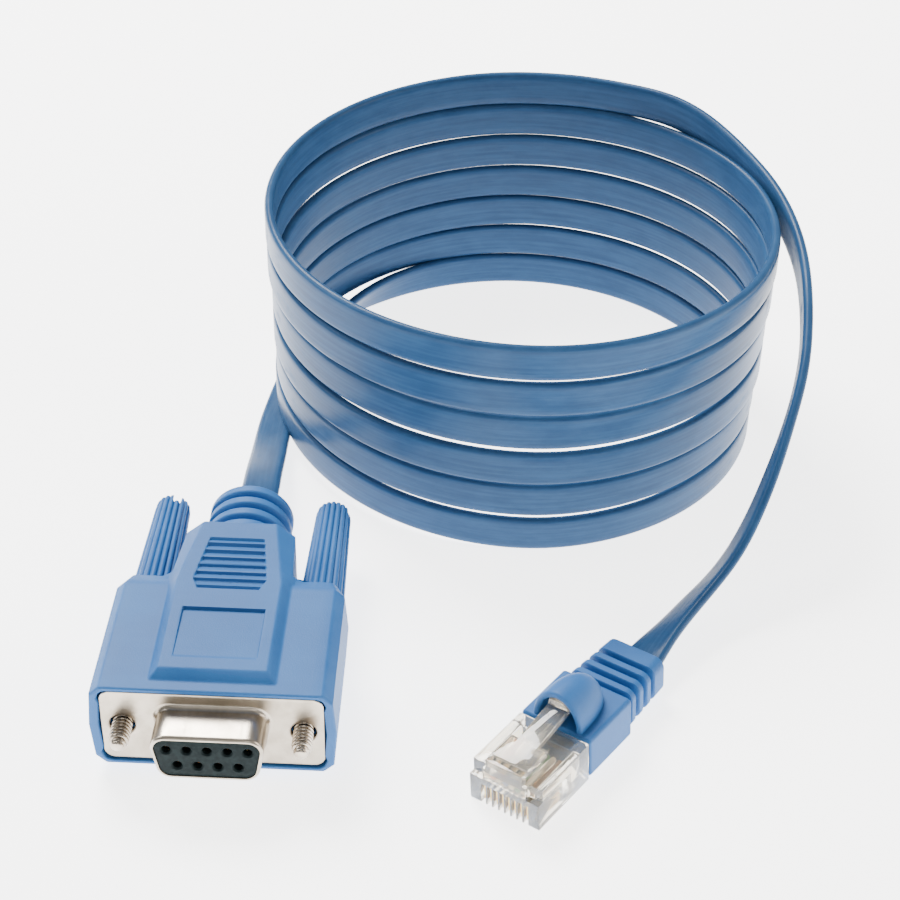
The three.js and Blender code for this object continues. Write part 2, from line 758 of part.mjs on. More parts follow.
// The cable's section: a flat bar with blunt round edges, ten sides
function cableSection() {
  const halfWidth = cableWidth / 2;
  const halfThickness = cableThickness / 2;
  const shape = new THREE.Shape();
  shape.moveTo(halfWidth, 0);
  for (const [x, y] of [[0.93, 0.75], [0.75, 1], [-0.75, 1], [-0.93, 0.75], [-1, 0], [-0.93, -0.75], [-0.75, -1], [0.75, -1], [0.93, -0.75]]) {
    shape.lineTo(x * halfWidth, y * halfThickness);
  }
  return shape;
}

function makeLead(name, route, fromPlug) {
  const curve = new FlatCableCurve(route, fromPlug);
  const steps = Math.round(curve.getLength() / leadStepLength);
  const geometry = new THREE.ExtrudeGeometry(cableSection(), { extrudePath: curve, steps, bevelEnabled: false });
  const mesh = piece(name, solid(geometry), paint.cable);
  mesh.position.set(0, flangeY, 0);
  return mesh;
}

// The coiled turns as one ring of their outer shape
function makeCoil() {
  const profile = [
    new THREE.Vector2(coilBottomRadius - cableThickness, 0),
    new THREE.Vector2(coilBottomRadius, 0),
    new THREE.Vector2(coilTopRadius, coilHeight),
    new THREE.Vector2(coilTopRadius - cableThickness, coilHeight),
    new THREE.Vector2(coilBottomRadius - cableThickness, 0),
  ];
  const geometry = new THREE.LatheGeometry(profile, 72);
  geometry.rotateX(Math.PI / 2);
  const mesh = piece('cable_coil', solid(geometry), paint.cable);
  mesh.position.set(coilX, coilY + flangeY, 0);
  return mesh;
}

const group = new THREE.Group();
group.add(makeDConnector());
group.add(makePlug());
group.add(makeLead('hood_lead', hoodLeadRoute, false));
group.add(makeLead('plug_lead', plugLeadRoute, true));
group.add(makeCoil());

export default group;
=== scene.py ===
# %% [markdown]
# # A coiled console cable
# The object is a light blue cable with a D-shaped socket connector in a moulded hood at one end and a clear
# modular plug in a moulded boot at the other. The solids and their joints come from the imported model, which
# is loaded first and never moved. Everything added below sits in the same frame, in metres.

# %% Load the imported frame
import math
import bmesh
import bpy
import numpy as np
from mathutils import Matrix


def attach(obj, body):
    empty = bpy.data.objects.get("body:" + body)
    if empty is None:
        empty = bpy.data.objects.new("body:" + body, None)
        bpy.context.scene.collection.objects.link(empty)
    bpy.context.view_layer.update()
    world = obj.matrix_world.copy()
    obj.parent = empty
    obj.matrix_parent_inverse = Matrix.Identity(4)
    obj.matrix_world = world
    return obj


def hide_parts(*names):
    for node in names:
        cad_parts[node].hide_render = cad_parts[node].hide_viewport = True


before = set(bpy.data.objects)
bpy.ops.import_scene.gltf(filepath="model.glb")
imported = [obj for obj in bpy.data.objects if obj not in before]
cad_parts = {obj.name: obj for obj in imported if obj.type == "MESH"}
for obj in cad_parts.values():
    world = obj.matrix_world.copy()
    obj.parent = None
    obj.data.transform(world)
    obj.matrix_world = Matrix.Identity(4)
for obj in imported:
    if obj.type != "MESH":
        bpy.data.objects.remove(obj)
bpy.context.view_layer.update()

# %% [markdown]
# ## Sizes that more than one step needs
# The D connector's sizes are measured from the front of its flange, and the plug's from its nose. Both get
# their place here, once. Lengths are written in millimetres because that is how such parts are drawn, and
# MM turns them into metres as the last thing before a mesh is made.

# %% Shared sizes and places
MM = 0.001
ROOT = "cable_and_connectors"
SHELL_REACH, GRIP_END = 5.85, 47.8
FLANGE_Y = (SHELL_REACH - GRIP_END) / 2
CENTRE_Z = 8.6
CONTACT_PITCH, ROW_SPACING, SCREW_SPACING = 2.77, 2.84, 24.99
SCREW_X = SCREW_SPACING / 2
PLUG_PLACE = np.array([40.44, FLANGE_Y - 5.62, 0.44])
PLUG_YAW, PLUG_ROLL = math.radians(-34.5), math.radians(-4.0)
CABLE_WIDTH, CABLE_THICKNESS = 6.05, 1.5


def turn_matrix(axis, angle):
    """The rotation by angle about the y or the z axis, as a 3 by 3 matrix that is put before a column."""
    c, s = math.cos(angle), math.sin(angle)
    if axis == "y":
        return np.array([[c, 0, s], [0, 1, 0], [-s, 0, c]])
    return np.array([[c, -s, 0], [s, c, 0], [0, 0, 1]])


PLUG_TURN = turn_matrix("z", PLUG_YAW) @ turn_matrix("y", PLUG_ROLL)


def in_connector(points):
    """Points measured from the flange's centre, moved to their place on the floor."""
    return np.asarray(points, float) + [0, FLANGE_Y, CENTRE_Z]


def in_plug(points):
    """Points measured from the plug's nose and underside, turned and moved to where the plug lies."""
    return np.asarray(points, float) @ PLUG_TURN.T + PLUG_PLACE


print("flange at y", round(FLANGE_Y, 3), "mm; plug nose at", PLUG_PLACE)

# %% [markdown]
# ## The camera
# The photograph was taken with a longish lens from in front and above, looking about 37 degrees down, and
# the camera was leaned by about one degree. Its place was found by fitting a pinhole camera to the
# connector's standard sizes. The connector lies turned by 1.8 degrees in that view, so the camera is turned
# back by as much here.

# %% Camera at the photograph's angle
LENS_MM, SENSOR_MM = 82.34, 36.0
CAMERA_PLACE = np.array([38.048, -199.366 + FLANGE_Y, 211.373])
LOOK_DOWN, LEAN, LOOK_TURN = math.radians(37.475), math.radians(1.147), math.radians(1.7957)


def aim_camera():
    """The camera's axes: forward is level +Y turned down and about, right and up are leaned about it."""
    about = turn_matrix("z", LOOK_TURN)
    forward = about @ np.array([0, math.cos(LOOK_DOWN), -math.sin(LOOK_DOWN)])
    level = about @ np.array([1.0, 0, 0])
    upright = np.cross(level, forward)
    right = math.cos(LEAN) * level + math.sin(LEAN) * upright
    top = -math.sin(LEAN) * level + math.cos(LEAN) * upright
    placed = np.eye(4)
    placed[:3, 0], placed[:3, 1], placed[:3, 2] = right, top, -forward
    placed[:3, 3] = CAMERA_PLACE * MM
    return placed


camera_data = bpy.data.cameras.new("photo_camera")
camera_data.lens, camera_data.sensor_width = LENS_MM, SENSOR_MM
camera_data.clip_start, camera_data.clip_end = 0.01, 10.0
camera = bpy.data.objects.new("photo_camera", camera_data)
bpy.context.scene.collection.objects.link(camera)
camera.matrix_world = Matrix(aim_camera().tolist())
bpy.context.scene.camera = camera
print("camera height", round(CAMERA_PLACE[2], 1), "mm")

# %% [markdown]
# ## Turning grids of points into meshes
# Most new pieces are one sheet of points with rows and columns, either open, closed round in one direction
# like a tube, or capped at its ends. One helper makes all of them, so that faces always point outwards and
# ends are always closed.

# %% Grid to mesh
def linked_object(name, points, faces):
    """Points in millimetres and faces as rows of indices become one object in the scene."""
    mesh = bpy.data.meshes.new(name)
    mesh.from_pydata((np.asarray(points) * MM).tolist(), [], faces)
    mesh.validate()
    made = bpy.data.objects.new(name, mesh)
    bpy.context.scene.collection.objects.link(made)
    return made


def cut(piece, points, faces):
    """Takes a closed shape out of a piece and leaves a plain mesh."""
    block = linked_object("cutter", points, faces)
    trim = piece.modifiers.new("cut", "BOOLEAN")
    trim.operation, trim.solver, trim.object = "DIFFERENCE", "EXACT", block
    bpy.context.view_layer.update()
    trimmed = bpy.data.meshes.new_from_object(piece.evaluated_get(bpy.context.evaluated_depsgraph_get()))
    piece.modifiers.clear()
    piece.data = trimmed
    bpy.data.objects.remove(block)


def as_piece(name, points, faces, body=ROOT, sharp=60, cutters=()):
    """One smooth-shaded object that rides on a body, with edges over the angle sharp left crisp."""
    piece = linked_object(name, points, faces)
    for cutter in cutters:
        cut(piece, *cutter)
    piece.data.shade_smooth()
    piece.data.set_sharp_from_angle(angle=math.radians(sharp))
    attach(piece, body)
    return piece


def quads(rows, columns, wrap_rows=False, wrap_columns=False):
    """Faces of a grid: each joins a point, its right neighbour, and the two in the next row."""
    index = np.arange(rows * columns).reshape(rows, columns)
    if wrap_rows:
        index = np.vstack([index, index[:1]])
    if wrap_columns:
        index = np.hstack([index, index[:, :1]])
    corners = [index[:-1, :-1], index[:-1, 1:], index[1:, 1:], index[1:, :-1]]
    return np.stack(corners, -1).reshape(-1, 4)


def tube(grid):
    """Points and faces of a tube of rings, grid[ring, around, xyz], with a fan of triangles over each end."""
    rings, around, _ = grid.shape
    points = np.vstack([grid.reshape(-1, 3), grid[0].mean(0), grid[-1].mean(0)])
    ring = np.arange(around)
    onward = np.roll(ring, -1)
    last = (rings - 1) * around
    near = np.stack([np.full(around, rings * around), onward, ring], -1)
    far = np.stack([np.full(around, rings * around + 1), last + ring, last + onward], -1)
    return points, quads(rings, around, wrap_columns=True).tolist() + near.tolist() + far.tolist()


print("grid helpers ready")

# %% [markdown]
# ## The flat cable
# This is one long flat cable: it leaves the strain relief lying flat, slides under the first turn of the
# coil, stands up on its edge inside it, winds about six and a third turns, and comes down on the right to
# the plug while it lies flat again. Such a cable has a fixed length, so its route is worked out as one line
# first: a cubic spline through listed points for the two leads and through points from a formula for
# the turns. The section is carried along afterwards.

# %% Points of the cable's route
# Each row is x, y from the flange, z from the floor in mm, and the tilt in degrees:
# 0 lies flat and 90 stands on edge
HOOD_LEAD = [
    [0.3, 43.0, 8.6, 0],
    [0.3, 46.5, 8.6, 0],
    [0.3, 50.0, 8.4, 0],
    [0.2, 55.0, 7.5, 0],
    [0.0, 60.0, 6.2, 1],
    [-0.15, 65.0, 4.7, 4],
    [-0.3, 70.0, 3.3, 8],
    [-0.4, 75.0, 2.2, 10],
    [-0.3, 80.0, 1.6, 10],
    [0.25, 86.0, 1.4, 9],
    [1.05, 92.0, 1.4, 9],
    [2.1, 98.0, 1.55, 12],
    [3.6, 104.0, 1.95, 22],
]
PLUG_LEAD = [
    [77.2, 109.9, 38.0, 90],
    [81.9, 99.7, 36.7, 90],
    [84.6, 89.4, 34.9, 90],
    [85.4, 77.9, 32.8, 90],
    [85.1, 69.6, 29.6, 92],
    [83.9, 62.4, 26.2, 99],
    [82.0, 56.5, 22.1, 105],
    [79.8, 51.4, 17.5, 113],
    [77.2, 46.5, 12.9, 120],
    [73.8, 41.5, 8.5, 128],
    [71.3, 38.5, 6.6, 132],
    [68.2, 34.95, 5.1, 137],
    [65.1, 30.9, 4.2, 142],
    [62.1, 26.5, 3.75, 156],
    [60.2, 23.3, 3.55, 171],
    [59.2, 21.5, 3.5, 176],
    [57.6, 19.2, 3.5, 176],
]
COIL_X, COIL_Y = 40.07, 90.5
COIL_HALF_LENGTH, COIL_HALF_DEPTH, COIL_TOP = 41.0, 40.74, 37.0
COIL_START, COIL_STOP, COIL_STEP = 32, 2296, 12.0
SHRINK_PER_MM = 0.0006

# Where a turn is pushed off its circle: how far in mm, at how many degrees wound, and over how many degrees
PUSHES = [
    (-0.45, 40, 30),
    (1.2, 385, 45),
    (0.4, 745, 50),
]

# Slow sways of the radius: how far in mm, how many waves per turn wound, and at how many degrees one peaks
SWAYS = [(0.1, 0.5, 264), (0.08, 0.37, 0)]

# The upper turns are longer than deep, by this much in mm at these degrees wound
OVAL_AT, OVAL_BY = [0, 600, 1600, 2225, 2285], [0, 0.45, 0.8, 1.05, 0]

# The last turn swings out: by how much in mm, from how many degrees wound, and over how many degrees
SWING_BY, SWING_FROM, SWING_OVER = 1.6, 2250, 40

# As it comes in, the strip turns up onto its edge and lies a little lower, at these degrees wound
RISE_AT, RISE_TILT = [30, 45, 62, 80], [45, 68, 86, 90]
SUNK_AT, SUNK_BY = [30, 45, 60], [-0.45, -0.1, 0.02]

# Height of the strip's lower edge, by degrees wound from the left side of the coil
WOUND = [0, 85, 264, 445, 624, 805, 984, 1165, 1344, 1525, 1704, 1885, 2064, 2245, 2400]
LOWER = [0, 0, 0, 6.2, 6.75, 12.4, 13.3, 18.6, 20.1, 24.85, 26.7, 30.95, 33.3, 37.05, 37.6]


def coil_points(wound):
    """Each point is the coil's centre + radius * (-cos, sin) of the angle wound.

    The radius shrinks a little towards the floor and sways slowly. It is pushed in or out where the strip
    passes under or over its neighbour, and the upper turns grow oval. The last one swings out to leave.
    """
    lower = np.interp(wound, WOUND, LOWER)
    shrink = 1 - SHRINK_PER_MM * (COIL_TOP - lower)
    turn = np.radians(wound)
    sway = sum(far * np.cos(np.radians(wound - peak) * waves) for far, waves, peak in SWAYS)
    pushed = sum(far * np.exp(-(((wound - at) / spread) ** 2)) for far, at, spread in PUSHES)
    outward = SWING_BY * np.clip((wound - SWING_FROM) / SWING_OVER, 0, 1) ** 1.5
    oval = np.cos(turn) ** 2 * np.interp(wound, OVAL_AT, OVAL_BY)
    offset = sway + pushed + outward + oval - CABLE_THICKNESS / 2
    x = COIL_X - (COIL_HALF_LENGTH * shrink + offset) * np.cos(turn)
    y = COIL_Y + (COIL_HALF_DEPTH * shrink + offset) * np.sin(turn)
    z = lower + CABLE_WIDTH / 2 + np.interp(wound, SUNK_AT, SUNK_BY)
    tilt = np.interp(wound, RISE_AT, RISE_TILT)
    return np.stack([x, y, z, tilt], -1)


wound_steps = np.arange(COIL_START, COIL_STOP, COIL_STEP)
route = np.vstack([HOOD_LEAD, coil_points(wound_steps), PLUG_LEAD])
print("route points:", len(route), "turns:", round((COIL_STOP - COIL_START) / 360, 2))

# %% Smooth line through the points
RING_SPACING, FINE_STEPS = 1.25, 20000


def spline(knots, spacing):
    """A natural cubic spline through the knots, sampled at an even spacing along its length."""
    steps = np.linalg.norm(np.diff(knots[:, :3], axis=0), axis=1)
    at = np.concatenate([[0], np.cumsum(steps)])
    gap = np.diff(at)
    slope = np.diff(knots, axis=0) / gap[:, None]
    system = np.diag(np.concatenate([[1], 2 * (gap[:-1] + gap[1:]), [1]]))
    inner = np.arange(1, len(at) - 1)
    system[inner, inner - 1] = gap[:-1]
    system[inner, inner + 1] = gap[1:]
    pull = np.zeros_like(knots)
    pull[1:-1] = 6 * np.diff(slope, axis=0)
    bend = np.linalg.solve(system, pull)

    def sample(t):
        """The cubic between two knots: their straight line, plus what their bends add to it."""
        i = np.clip(np.searchsorted(at, t, side="right") - 1, 0, len(gap) - 1)
        a, b, h = (at[i + 1] - t)[:, None], (t - at[i])[:, None], gap[i][:, None]
        cubic = (bend[i] * a**3 + bend[i + 1] * b**3) / (6 * h)
        lines = (knots[i] / h - bend[i] * h / 6) * a + (knots[i + 1] / h - bend[i + 1] * h / 6) * b
        return cubic + lines

    fine_t = np.linspace(0, at[-1], FINE_STEPS)
    fine = sample(fine_t)
    length = np.concatenate([[0], np.cumsum(np.linalg.norm(np.diff(fine[:, :3], axis=0), axis=1))])
    count = int(length[-1] / spacing)
    even = np.interp(np.linspace(0, length[-1], count), length, fine_t)
    return sample(even), length[-1]


line, cable_length = spline(route, RING_SPACING)
middle = line[:, :3] + [0, FLANGE_Y, 0]
print("cable length", round(cable_length / 1000, 3), "m in", len(middle), "rings")

# %% Carry the flat section along the line
def flat_section(width, thickness, cap_points=7, flat_points=5):
    """A bar with half-round edges: two half circles joined by straight sides, anticlockwise."""
    radius = thickness / 2
    reach = width / 2 - radius
    cap = np.linspace(-np.pi / 2, np.pi / 2, cap_points)
    side = np.linspace(reach, -reach, flat_points + 2)[1:-1]
    right = np.stack([reach + radius * np.cos(cap), radius * np.sin(cap)], -1)
    top = np.stack([side, np.full_like(side, radius)], -1)
    return np.vstack([right, top, -right, -top])


def carry(line_points, tilt, section):
    """Each ring is middle + a * across + b * normal, where a and b are the section's two coordinates.

    Across is level and square to the line, turned about the line by the tilt.
    """
    along = np.gradient(line_points, axis=0)
    along /= np.linalg.norm(along, axis=1)[:, None]
    level = np.cross(along, [0, 0, 1.0])
    level /= np.linalg.norm(level, axis=1)[:, None]
    upward = np.cross(level, along)
    c, s = np.cos(tilt)[:, None], np.sin(tilt)[:, None]
    across = level * c + upward * s
    normal = np.cross(across, along)
    return (
        line_points[:, None]
        + section[None, :, :1] * across[:, None]
        + section[None, :, 1:] * normal[:, None]
    )


def add_lengthwise_map(piece, rings, around, step, section):
    """A map whose u is the distance along the cable in metres and v the place across it in metres."""
    ring = np.repeat(np.arange(rings), around)
    across = np.tile(section[:, 0], rings)
    values = np.stack([ring * step * MM, across * MM], -1)
    values = np.vstack([values, values[:1], values[-1:]])
    layer = piece.data.uv_layers.new(name="along")
    loop_vertex = np.zeros(len(piece.data.loops), int)
    piece.data.loops.foreach_get("vertex_index", loop_vertex)
    layer.data.foreach_set("uv", values[loop_vertex].astype(np.float32).ravel())


cable_section = flat_section(CABLE_WIDTH, CABLE_THICKNESS)
cable_rings = carry(middle, np.radians(line[:, 3]), cable_section)
points, faces = tube(cable_rings)
cable = as_piece("flat_cable", points, faces, sharp=70)
add_lengthwise_map(cable, len(middle), len(cable_section), RING_SPACING, cable_section)
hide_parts("cable_coil", "hood_lead", "plug_lead")
print("cable faces:", len(faces), "lowest point", round(float(points[:, 2].min()), 2), "mm")

# %% [markdown]
# ## The hood
# The hood is two moulded halves welded along the middle: a block with cut corners, a raised plateau on both
# faces that runs on into a tapering neck, a sunk panel on top and a ribbed grip on both faces. It could be
# cut from blocks, but its edges would stay knife sharp. Here it is a stack of closed rings along the hood's
# length. The top of each ring is a height worked out from a few planes, joined with a soft minimum or
# maximum so that every edge comes out rounded.

# %% Soft joins
def soft_min(a, b, width):
    """The smaller of a and b, rounded off where they are closer than width."""
    near = np.clip(width - np.abs(a - b), 0, None) / width
    return np.minimum(a, b) - near * near * width / 4


def soft_max(a, b, width):
    """The larger of a and b, rounded off in the same way."""
    return -soft_min(-a, -b, width)


def soft_step(value, start, end):
    """0 before start, 1 after end, with an S-shaped rise between."""
    t = np.clip((value - start) / (end - start), 0, 1)
    return t * t * (3 - 2 * t)


print("soft_min(1, 1, 0.4) =", soft_min(np.array(1.0), np.array(1.0), 0.4))

# %% The hood's outlines
HOOD_HALF_HEIGHT, PLATEAU_TOP, CORNER_CUT, REAR_DROP = 7.25, 8.6, 1.4, 0.95
TAPER_Y, SHOULDER_Y, SHOULDER_END_Y, NECK_END_Y = 21.2, 21.7, 24.2, 34.3
PLATEAU_FRONT_Y, FRONT_SLOPE_RUN = 1.65, 1.25
SHOULDER_EDGE, PLATEAU_EDGE = 0.25, 0.2


def hood_half_width(y):
    """Outer edge seen from above: a slight taper, a cut rear corner, then the neck."""
    block = np.interp(y, [0, SHOULDER_Y, SHOULDER_END_Y], [16.65, 16.45, 14.85])
    return np.where(y <= SHOULDER_END_Y, block, neck_foot(y))


def neck_foot(y):
    """Half the width of the neck, and of the plateau's foot ahead of it."""
    return np.interp(y, [TAPER_Y, SHOULDER_END_Y, NECK_END_Y], [8.75, 8.7, 8.05])


def plateau_half_width(y):
    """Half the width of the plateau's flat top, which narrows along the neck."""
    return np.interp(y, [TAPER_Y, NECK_END_Y], [7.5, 5.4])


def foot_height(y):
    """Height of the neck's walls, which falls by the rear drop to the neck's end."""
    return np.interp(y, [SHOULDER_END_Y, NECK_END_Y], [HOOD_HALF_HEIGHT, HOOD_HALF_HEIGHT - REAR_DROP])


def shoulder_height(x, y):
    """The flat shoulder, lowered by the 45 degree corner cut and by the rear slope."""
    corner = HOOD_HALF_HEIGHT - (np.abs(x) - (hood_half_width(y) - CORNER_CUT))
    rear = HOOD_HALF_HEIGHT - REAR_DROP * (y - SHOULDER_Y) / (SHOULDER_END_Y - SHOULDER_Y)
    slopes = soft_min(corner, rear, SHOULDER_EDGE)
    return soft_min(slopes, np.full_like(x, HOOD_HALF_HEIGHT), SHOULDER_EDGE)


def plateau_height(x, y):
    """The plateau: a flat top between a front slope and two side slopes."""
    steep = (PLATEAU_TOP - foot_height(y)) / (neck_foot(y) - plateau_half_width(y))
    side = PLATEAU_TOP - steep * (np.abs(x) - plateau_half_width(y))
    front = HOOD_HALF_HEIGHT + (PLATEAU_TOP - HOOD_HALF_HEIGHT) * (y - PLATEAU_FRONT_Y) / FRONT_SLOPE_RUN
    slopes = soft_min(side, front, PLATEAU_EDGE)
    return soft_min(slopes, np.full_like(x, PLATEAU_TOP), PLATEAU_EDGE)


print("neck is", 2 * float(neck_foot(NECK_END_Y)), "mm wide at its end")

# %% Panel and grip
PANEL_HALF_WIDTH, PANEL_FRONT, PANEL_REAR = 5.85, 5.3, 15.3
PANEL_FRONT_DEPTH, PANEL_REAR_DEPTH = 0.1, 0.5
LOUVRES, GRIP_FRONT, GRIP_WIDEST, GRIP_REAR = 7, 19.5, 21.6, 30.5
LOUVRE_PITCH = (GRIP_REAR - GRIP_FRONT) / LOUVRES
GRIP_SUNK, LOUVRE_RISE = 0.55, 0.47


def panel_depth(x, y):
    """A wedge sunk between straight edges, deepest at the rear."""
    across = soft_step(PANEL_HALF_WIDTH - np.abs(x), -0.06, 0.12)
    along = soft_step(y, PANEL_FRONT - 0.1, PANEL_FRONT + 0.1) * soft_step(PANEL_REAR - y, -0.05, 0.1)
    return across * along * np.interp(y, [PANEL_FRONT, PANEL_REAR], [PANEL_FRONT_DEPTH, PANEL_REAR_DEPTH])


def grip_depth(x, y):
    """Seven louvres: each rises steeply at its front and falls gently to the next."""
    half = np.interp(y, [GRIP_FRONT, GRIP_WIDEST, GRIP_REAR], [4.4, 5.25, 4.0])
    across = soft_step(half - np.abs(x), -0.06, 0.12)
    along = soft_step(y, GRIP_FRONT - 0.05, GRIP_FRONT + 0.1) * soft_step(GRIP_REAR + 0.05 - y, 0, 0.15)
    turn = np.mod((y - GRIP_FRONT) / LOUVRE_PITCH, 1.0)
    louvre = soft_step(turn, 0.2, 0.38) * (1 - 0.62 * soft_step(turn, 0.45, 1.0))
    return across * along * (GRIP_SUNK - LOUVRE_RISE * louvre)


def hood_height(x, y, with_panel):
    """The plateau on the shoulder, with the grip sunk into it and, on the top face, the panel."""
    height = soft_max(shoulder_height(x, y), plateau_height(x, y), PLATEAU_EDGE) - grip_depth(x, y)
    return height - panel_depth(x, y) if with_panel else height


print("panel depth at its rear edge", round(float(panel_depth(np.array(0.0), np.array(15.1))), 2), "mm")

# %% The hood's rings
INNER_EDGE, INNER_COLUMNS = 9.2, 62
FLAT_SHARES = np.array([0.25, 0.5, 0.75, 1.0])
CORNER_INSETS = np.array([1.52, 1.4, 1.28, 1.0, 0.7, 0.4, 0.2, 0.1, 0])
SIDE_POINTS = len(FLAT_SHARES) + len(CORNER_INSETS)
FLAT_INSET, WALL_DRAFT = 1.65, 0.45
BLOCK_STEP, NECK_STEP = 0.19, 0.16


def half_columns(y):
    """x of a ring's columns from the middle outwards.

    They are even to the inner edge, wide over the flat shoulder, and close together over the corner cut.
    """
    edge = hood_half_width(y)
    inner = np.linspace(0, INNER_EDGE, INNER_COLUMNS)
    flat = INNER_EDGE + (edge - FLAT_INSET - INNER_EDGE) * FLAT_SHARES
    return np.concatenate([inner, flat, edge - CORNER_INSETS])


def half_face(y, with_panel):
    """x and z of a ring from the middle of a face outwards; on the neck the last columns go down its wall."""
    if y <= SHOULDER_END_Y:
        x = half_columns(y)
        return x, hood_height(x, np.full_like(x, y), with_panel)
    foot = float(neck_foot(y))
    inner = np.linspace(0, foot, INNER_COLUMNS)
    wall = np.linspace(1, 0.35, SIDE_POINTS + 1)[1:] * float(foot_height(y))
    z = hood_height(inner, np.full_like(inner, y), with_panel)
    z = np.concatenate([z, np.minimum(wall, z[-1])])
    return np.concatenate([inner, np.full(SIDE_POINTS, foot)]), z


def hood_ring(y):
    """One closed ring: the top from left to right, the right wall, the underside, the left wall."""
    x, z = half_face(y, True)
    _, under = half_face(y, False)
    top = np.stack([np.concatenate([-x[:0:-1], x]), np.concatenate([z[:0:-1], z])], -1)
    bottom = np.stack([np.concatenate([x[:0:-1], -x]), -np.concatenate([under[:0:-1], under])], -1)
    draft = WALL_DRAFT if y <= SHOULDER_END_Y else 0.0
    climb = np.linspace(1, -1, SIDE_POINTS + 2)[1:-1]
    wall = np.stack([x[-1] + draft * (1 - np.abs(climb)), climb * z[-1]], -1)
    outline = np.vstack([top, wall, bottom, -wall])
    return np.insert(outline, 1, y, axis=1)


print("columns in half a face:", len(half_columns(0.0)))

# %% The hood's rim and the whole stack
# Half width, half height and corner radius of the pocket in the front face, and of its softened mouth
POCKET = (15.7, 6.55, 1.5)
POCKET_MOUTH = (15.82, 6.67, 1.6)
POCKET_DEPTH, OVERSHOOT = 1.15, 1.12


def pocket_ring(outer, half_width, half_height, radius, y):
    """The outer ring pressed onto a rounded rectangle: scaled, clamped, and pulled onto the corner arcs."""
    x = outer[:, 0] / np.abs(outer[:, 0]).max() * half_width
    z = np.clip(outer[:, 2] / HOOD_HALF_HEIGHT * half_height * OVERSHOOT, -half_height, half_height)
    corner_x, corner_z = half_width - radius, half_height - radius
    over_x, over_z = np.abs(x) - corner_x, np.abs(z) - corner_z
    in_corner = (over_x > 0) & (over_z > 0)
    reach = np.maximum(np.hypot(over_x, over_z), 1e-6)
    x = np.where(in_corner, np.sign(x) * (corner_x + over_x / reach * radius), x)
    z = np.where(in_corner, np.sign(z) * (corner_z + over_z / reach * radius), z)
    return np.stack([x, np.full_like(x, y), z], -1)


def rim_ring(ring, inset, y):
    """A ring drawn in by inset on all sides and moved to y."""
    drawn = ring.copy()
    drawn[:, 0] *= 1 - inset / np.abs(ring[:, 0]).max()
    drawn[:, 2] *= 1 - inset / np.abs(ring[:, 2]).max()
    drawn[:, 1] = y
    return drawn


def make_hood():
    """All rings from the pocket's bottom over the rim and along the hood to the neck's rounded end."""
    block = np.arange(0.0, SHOULDER_END_Y - 0.12, BLOCK_STEP)
    neck = np.arange(SHOULDER_END_Y + 0.06, NECK_END_Y - 0.2, NECK_STEP)
    stations = [*block, SHOULDER_END_Y - 0.1, SHOULDER_END_Y, *neck, NECK_END_Y - 0.2]
    rings = [hood_ring(y) for y in stations]
    front, back = rings[0], rings[-1]
    rim = [
        pocket_ring(front, *POCKET, POCKET_DEPTH),
        pocket_ring(front, *POCKET, -0.1),
        pocket_ring(front, *POCKET_MOUTH, -0.25),
        rim_ring(front, 0.2, -0.25),
        rim_ring(front, 0.06, -0.14),
    ]
    tail = [rim_ring(back, 0.05, NECK_END_Y - 0.08), rim_ring(back, 0.2, NECK_END_Y)]
    return np.stack(rim + rings + tail)


hood_rings = in_connector(make_hood())
print("hood rings:", len(hood_rings), "of", hood_rings.shape[1], "points")

# %% The D outline and round pieces
D_HALF_WIDTH, D_HALF_HEIGHT, D_CORNER, D_SLANT, D_POINTS = 8.17, 3.95, 2.3, 0.176, 120


def d_outline(inset):
    """A D with flat top and bottom, slanted sides and round corners, drawn in by inset, at even steps."""
    radius = max(D_CORNER - inset, 0.35)
    top = D_HALF_HEIGHT - inset
    stretch, lean = math.hypot(1, D_SLANT), math.atan(D_SLANT)

    def corner(z, start, end, count):
        """The arc of a right corner whose centre is at height z."""
        centre = D_HALF_WIDTH - inset * stretch - (top - z) * D_SLANT - radius * stretch
        angle = np.linspace(start, end, count)
        return np.stack([centre + radius * np.cos(angle), z + radius * np.sin(angle)], -1)

    high = corner(top - radius, np.pi / 2, -lean, 16)
    low = corner(radius - top, -lean, -np.pi / 2, 14)
    right = np.vstack([[[0, top]], high, low, [[0, -top]]])
    outline = np.vstack([right, (right * [-1, 1])[-2::-1]])
    walked = np.concatenate([[0], np.cumsum(np.linalg.norm(np.diff(outline, axis=0), axis=1))])
    even = np.linspace(0, walked[-1], D_POINTS, endpoint=False)
    return np.stack([np.interp(even, walked, outline[:, 0]), np.interp(even, walked, outline[:, 1])], -1)


def d_rings(profile):
    """Rings round the D outline, one for each row of inset and y."""
    return np.stack([np.insert(d_outline(inset), 1, y, axis=1) for inset, y in profile])


def turned(profile, around, ripple=None):
    """A round piece about y: profile has rows of radius and y; ripple(angle, y) adds to the radius."""
    profile = np.asarray(profile, float)
    angle = np.linspace(0, 2 * np.pi, around, endpoint=False)[None]
    radius, y = profile[:, :1], np.repeat(profile[:, 1:], around, 1)
    if ripple is not None:
        radius = radius + ripple(angle, y)
    return np.stack([radius * np.cos(angle), y, -radius * np.sin(angle)], -1)


def at_screws(profile, around):
    """The same round shape at both screws, as points and faces."""
    return [tube(in_connector(turned(profile, around) + [x, 0, 0])) for x in (-SCREW_X, SCREW_X)]


print("the D outline is", round(2 * float(d_outline(0)[:, 0].max()), 2), "mm wide")

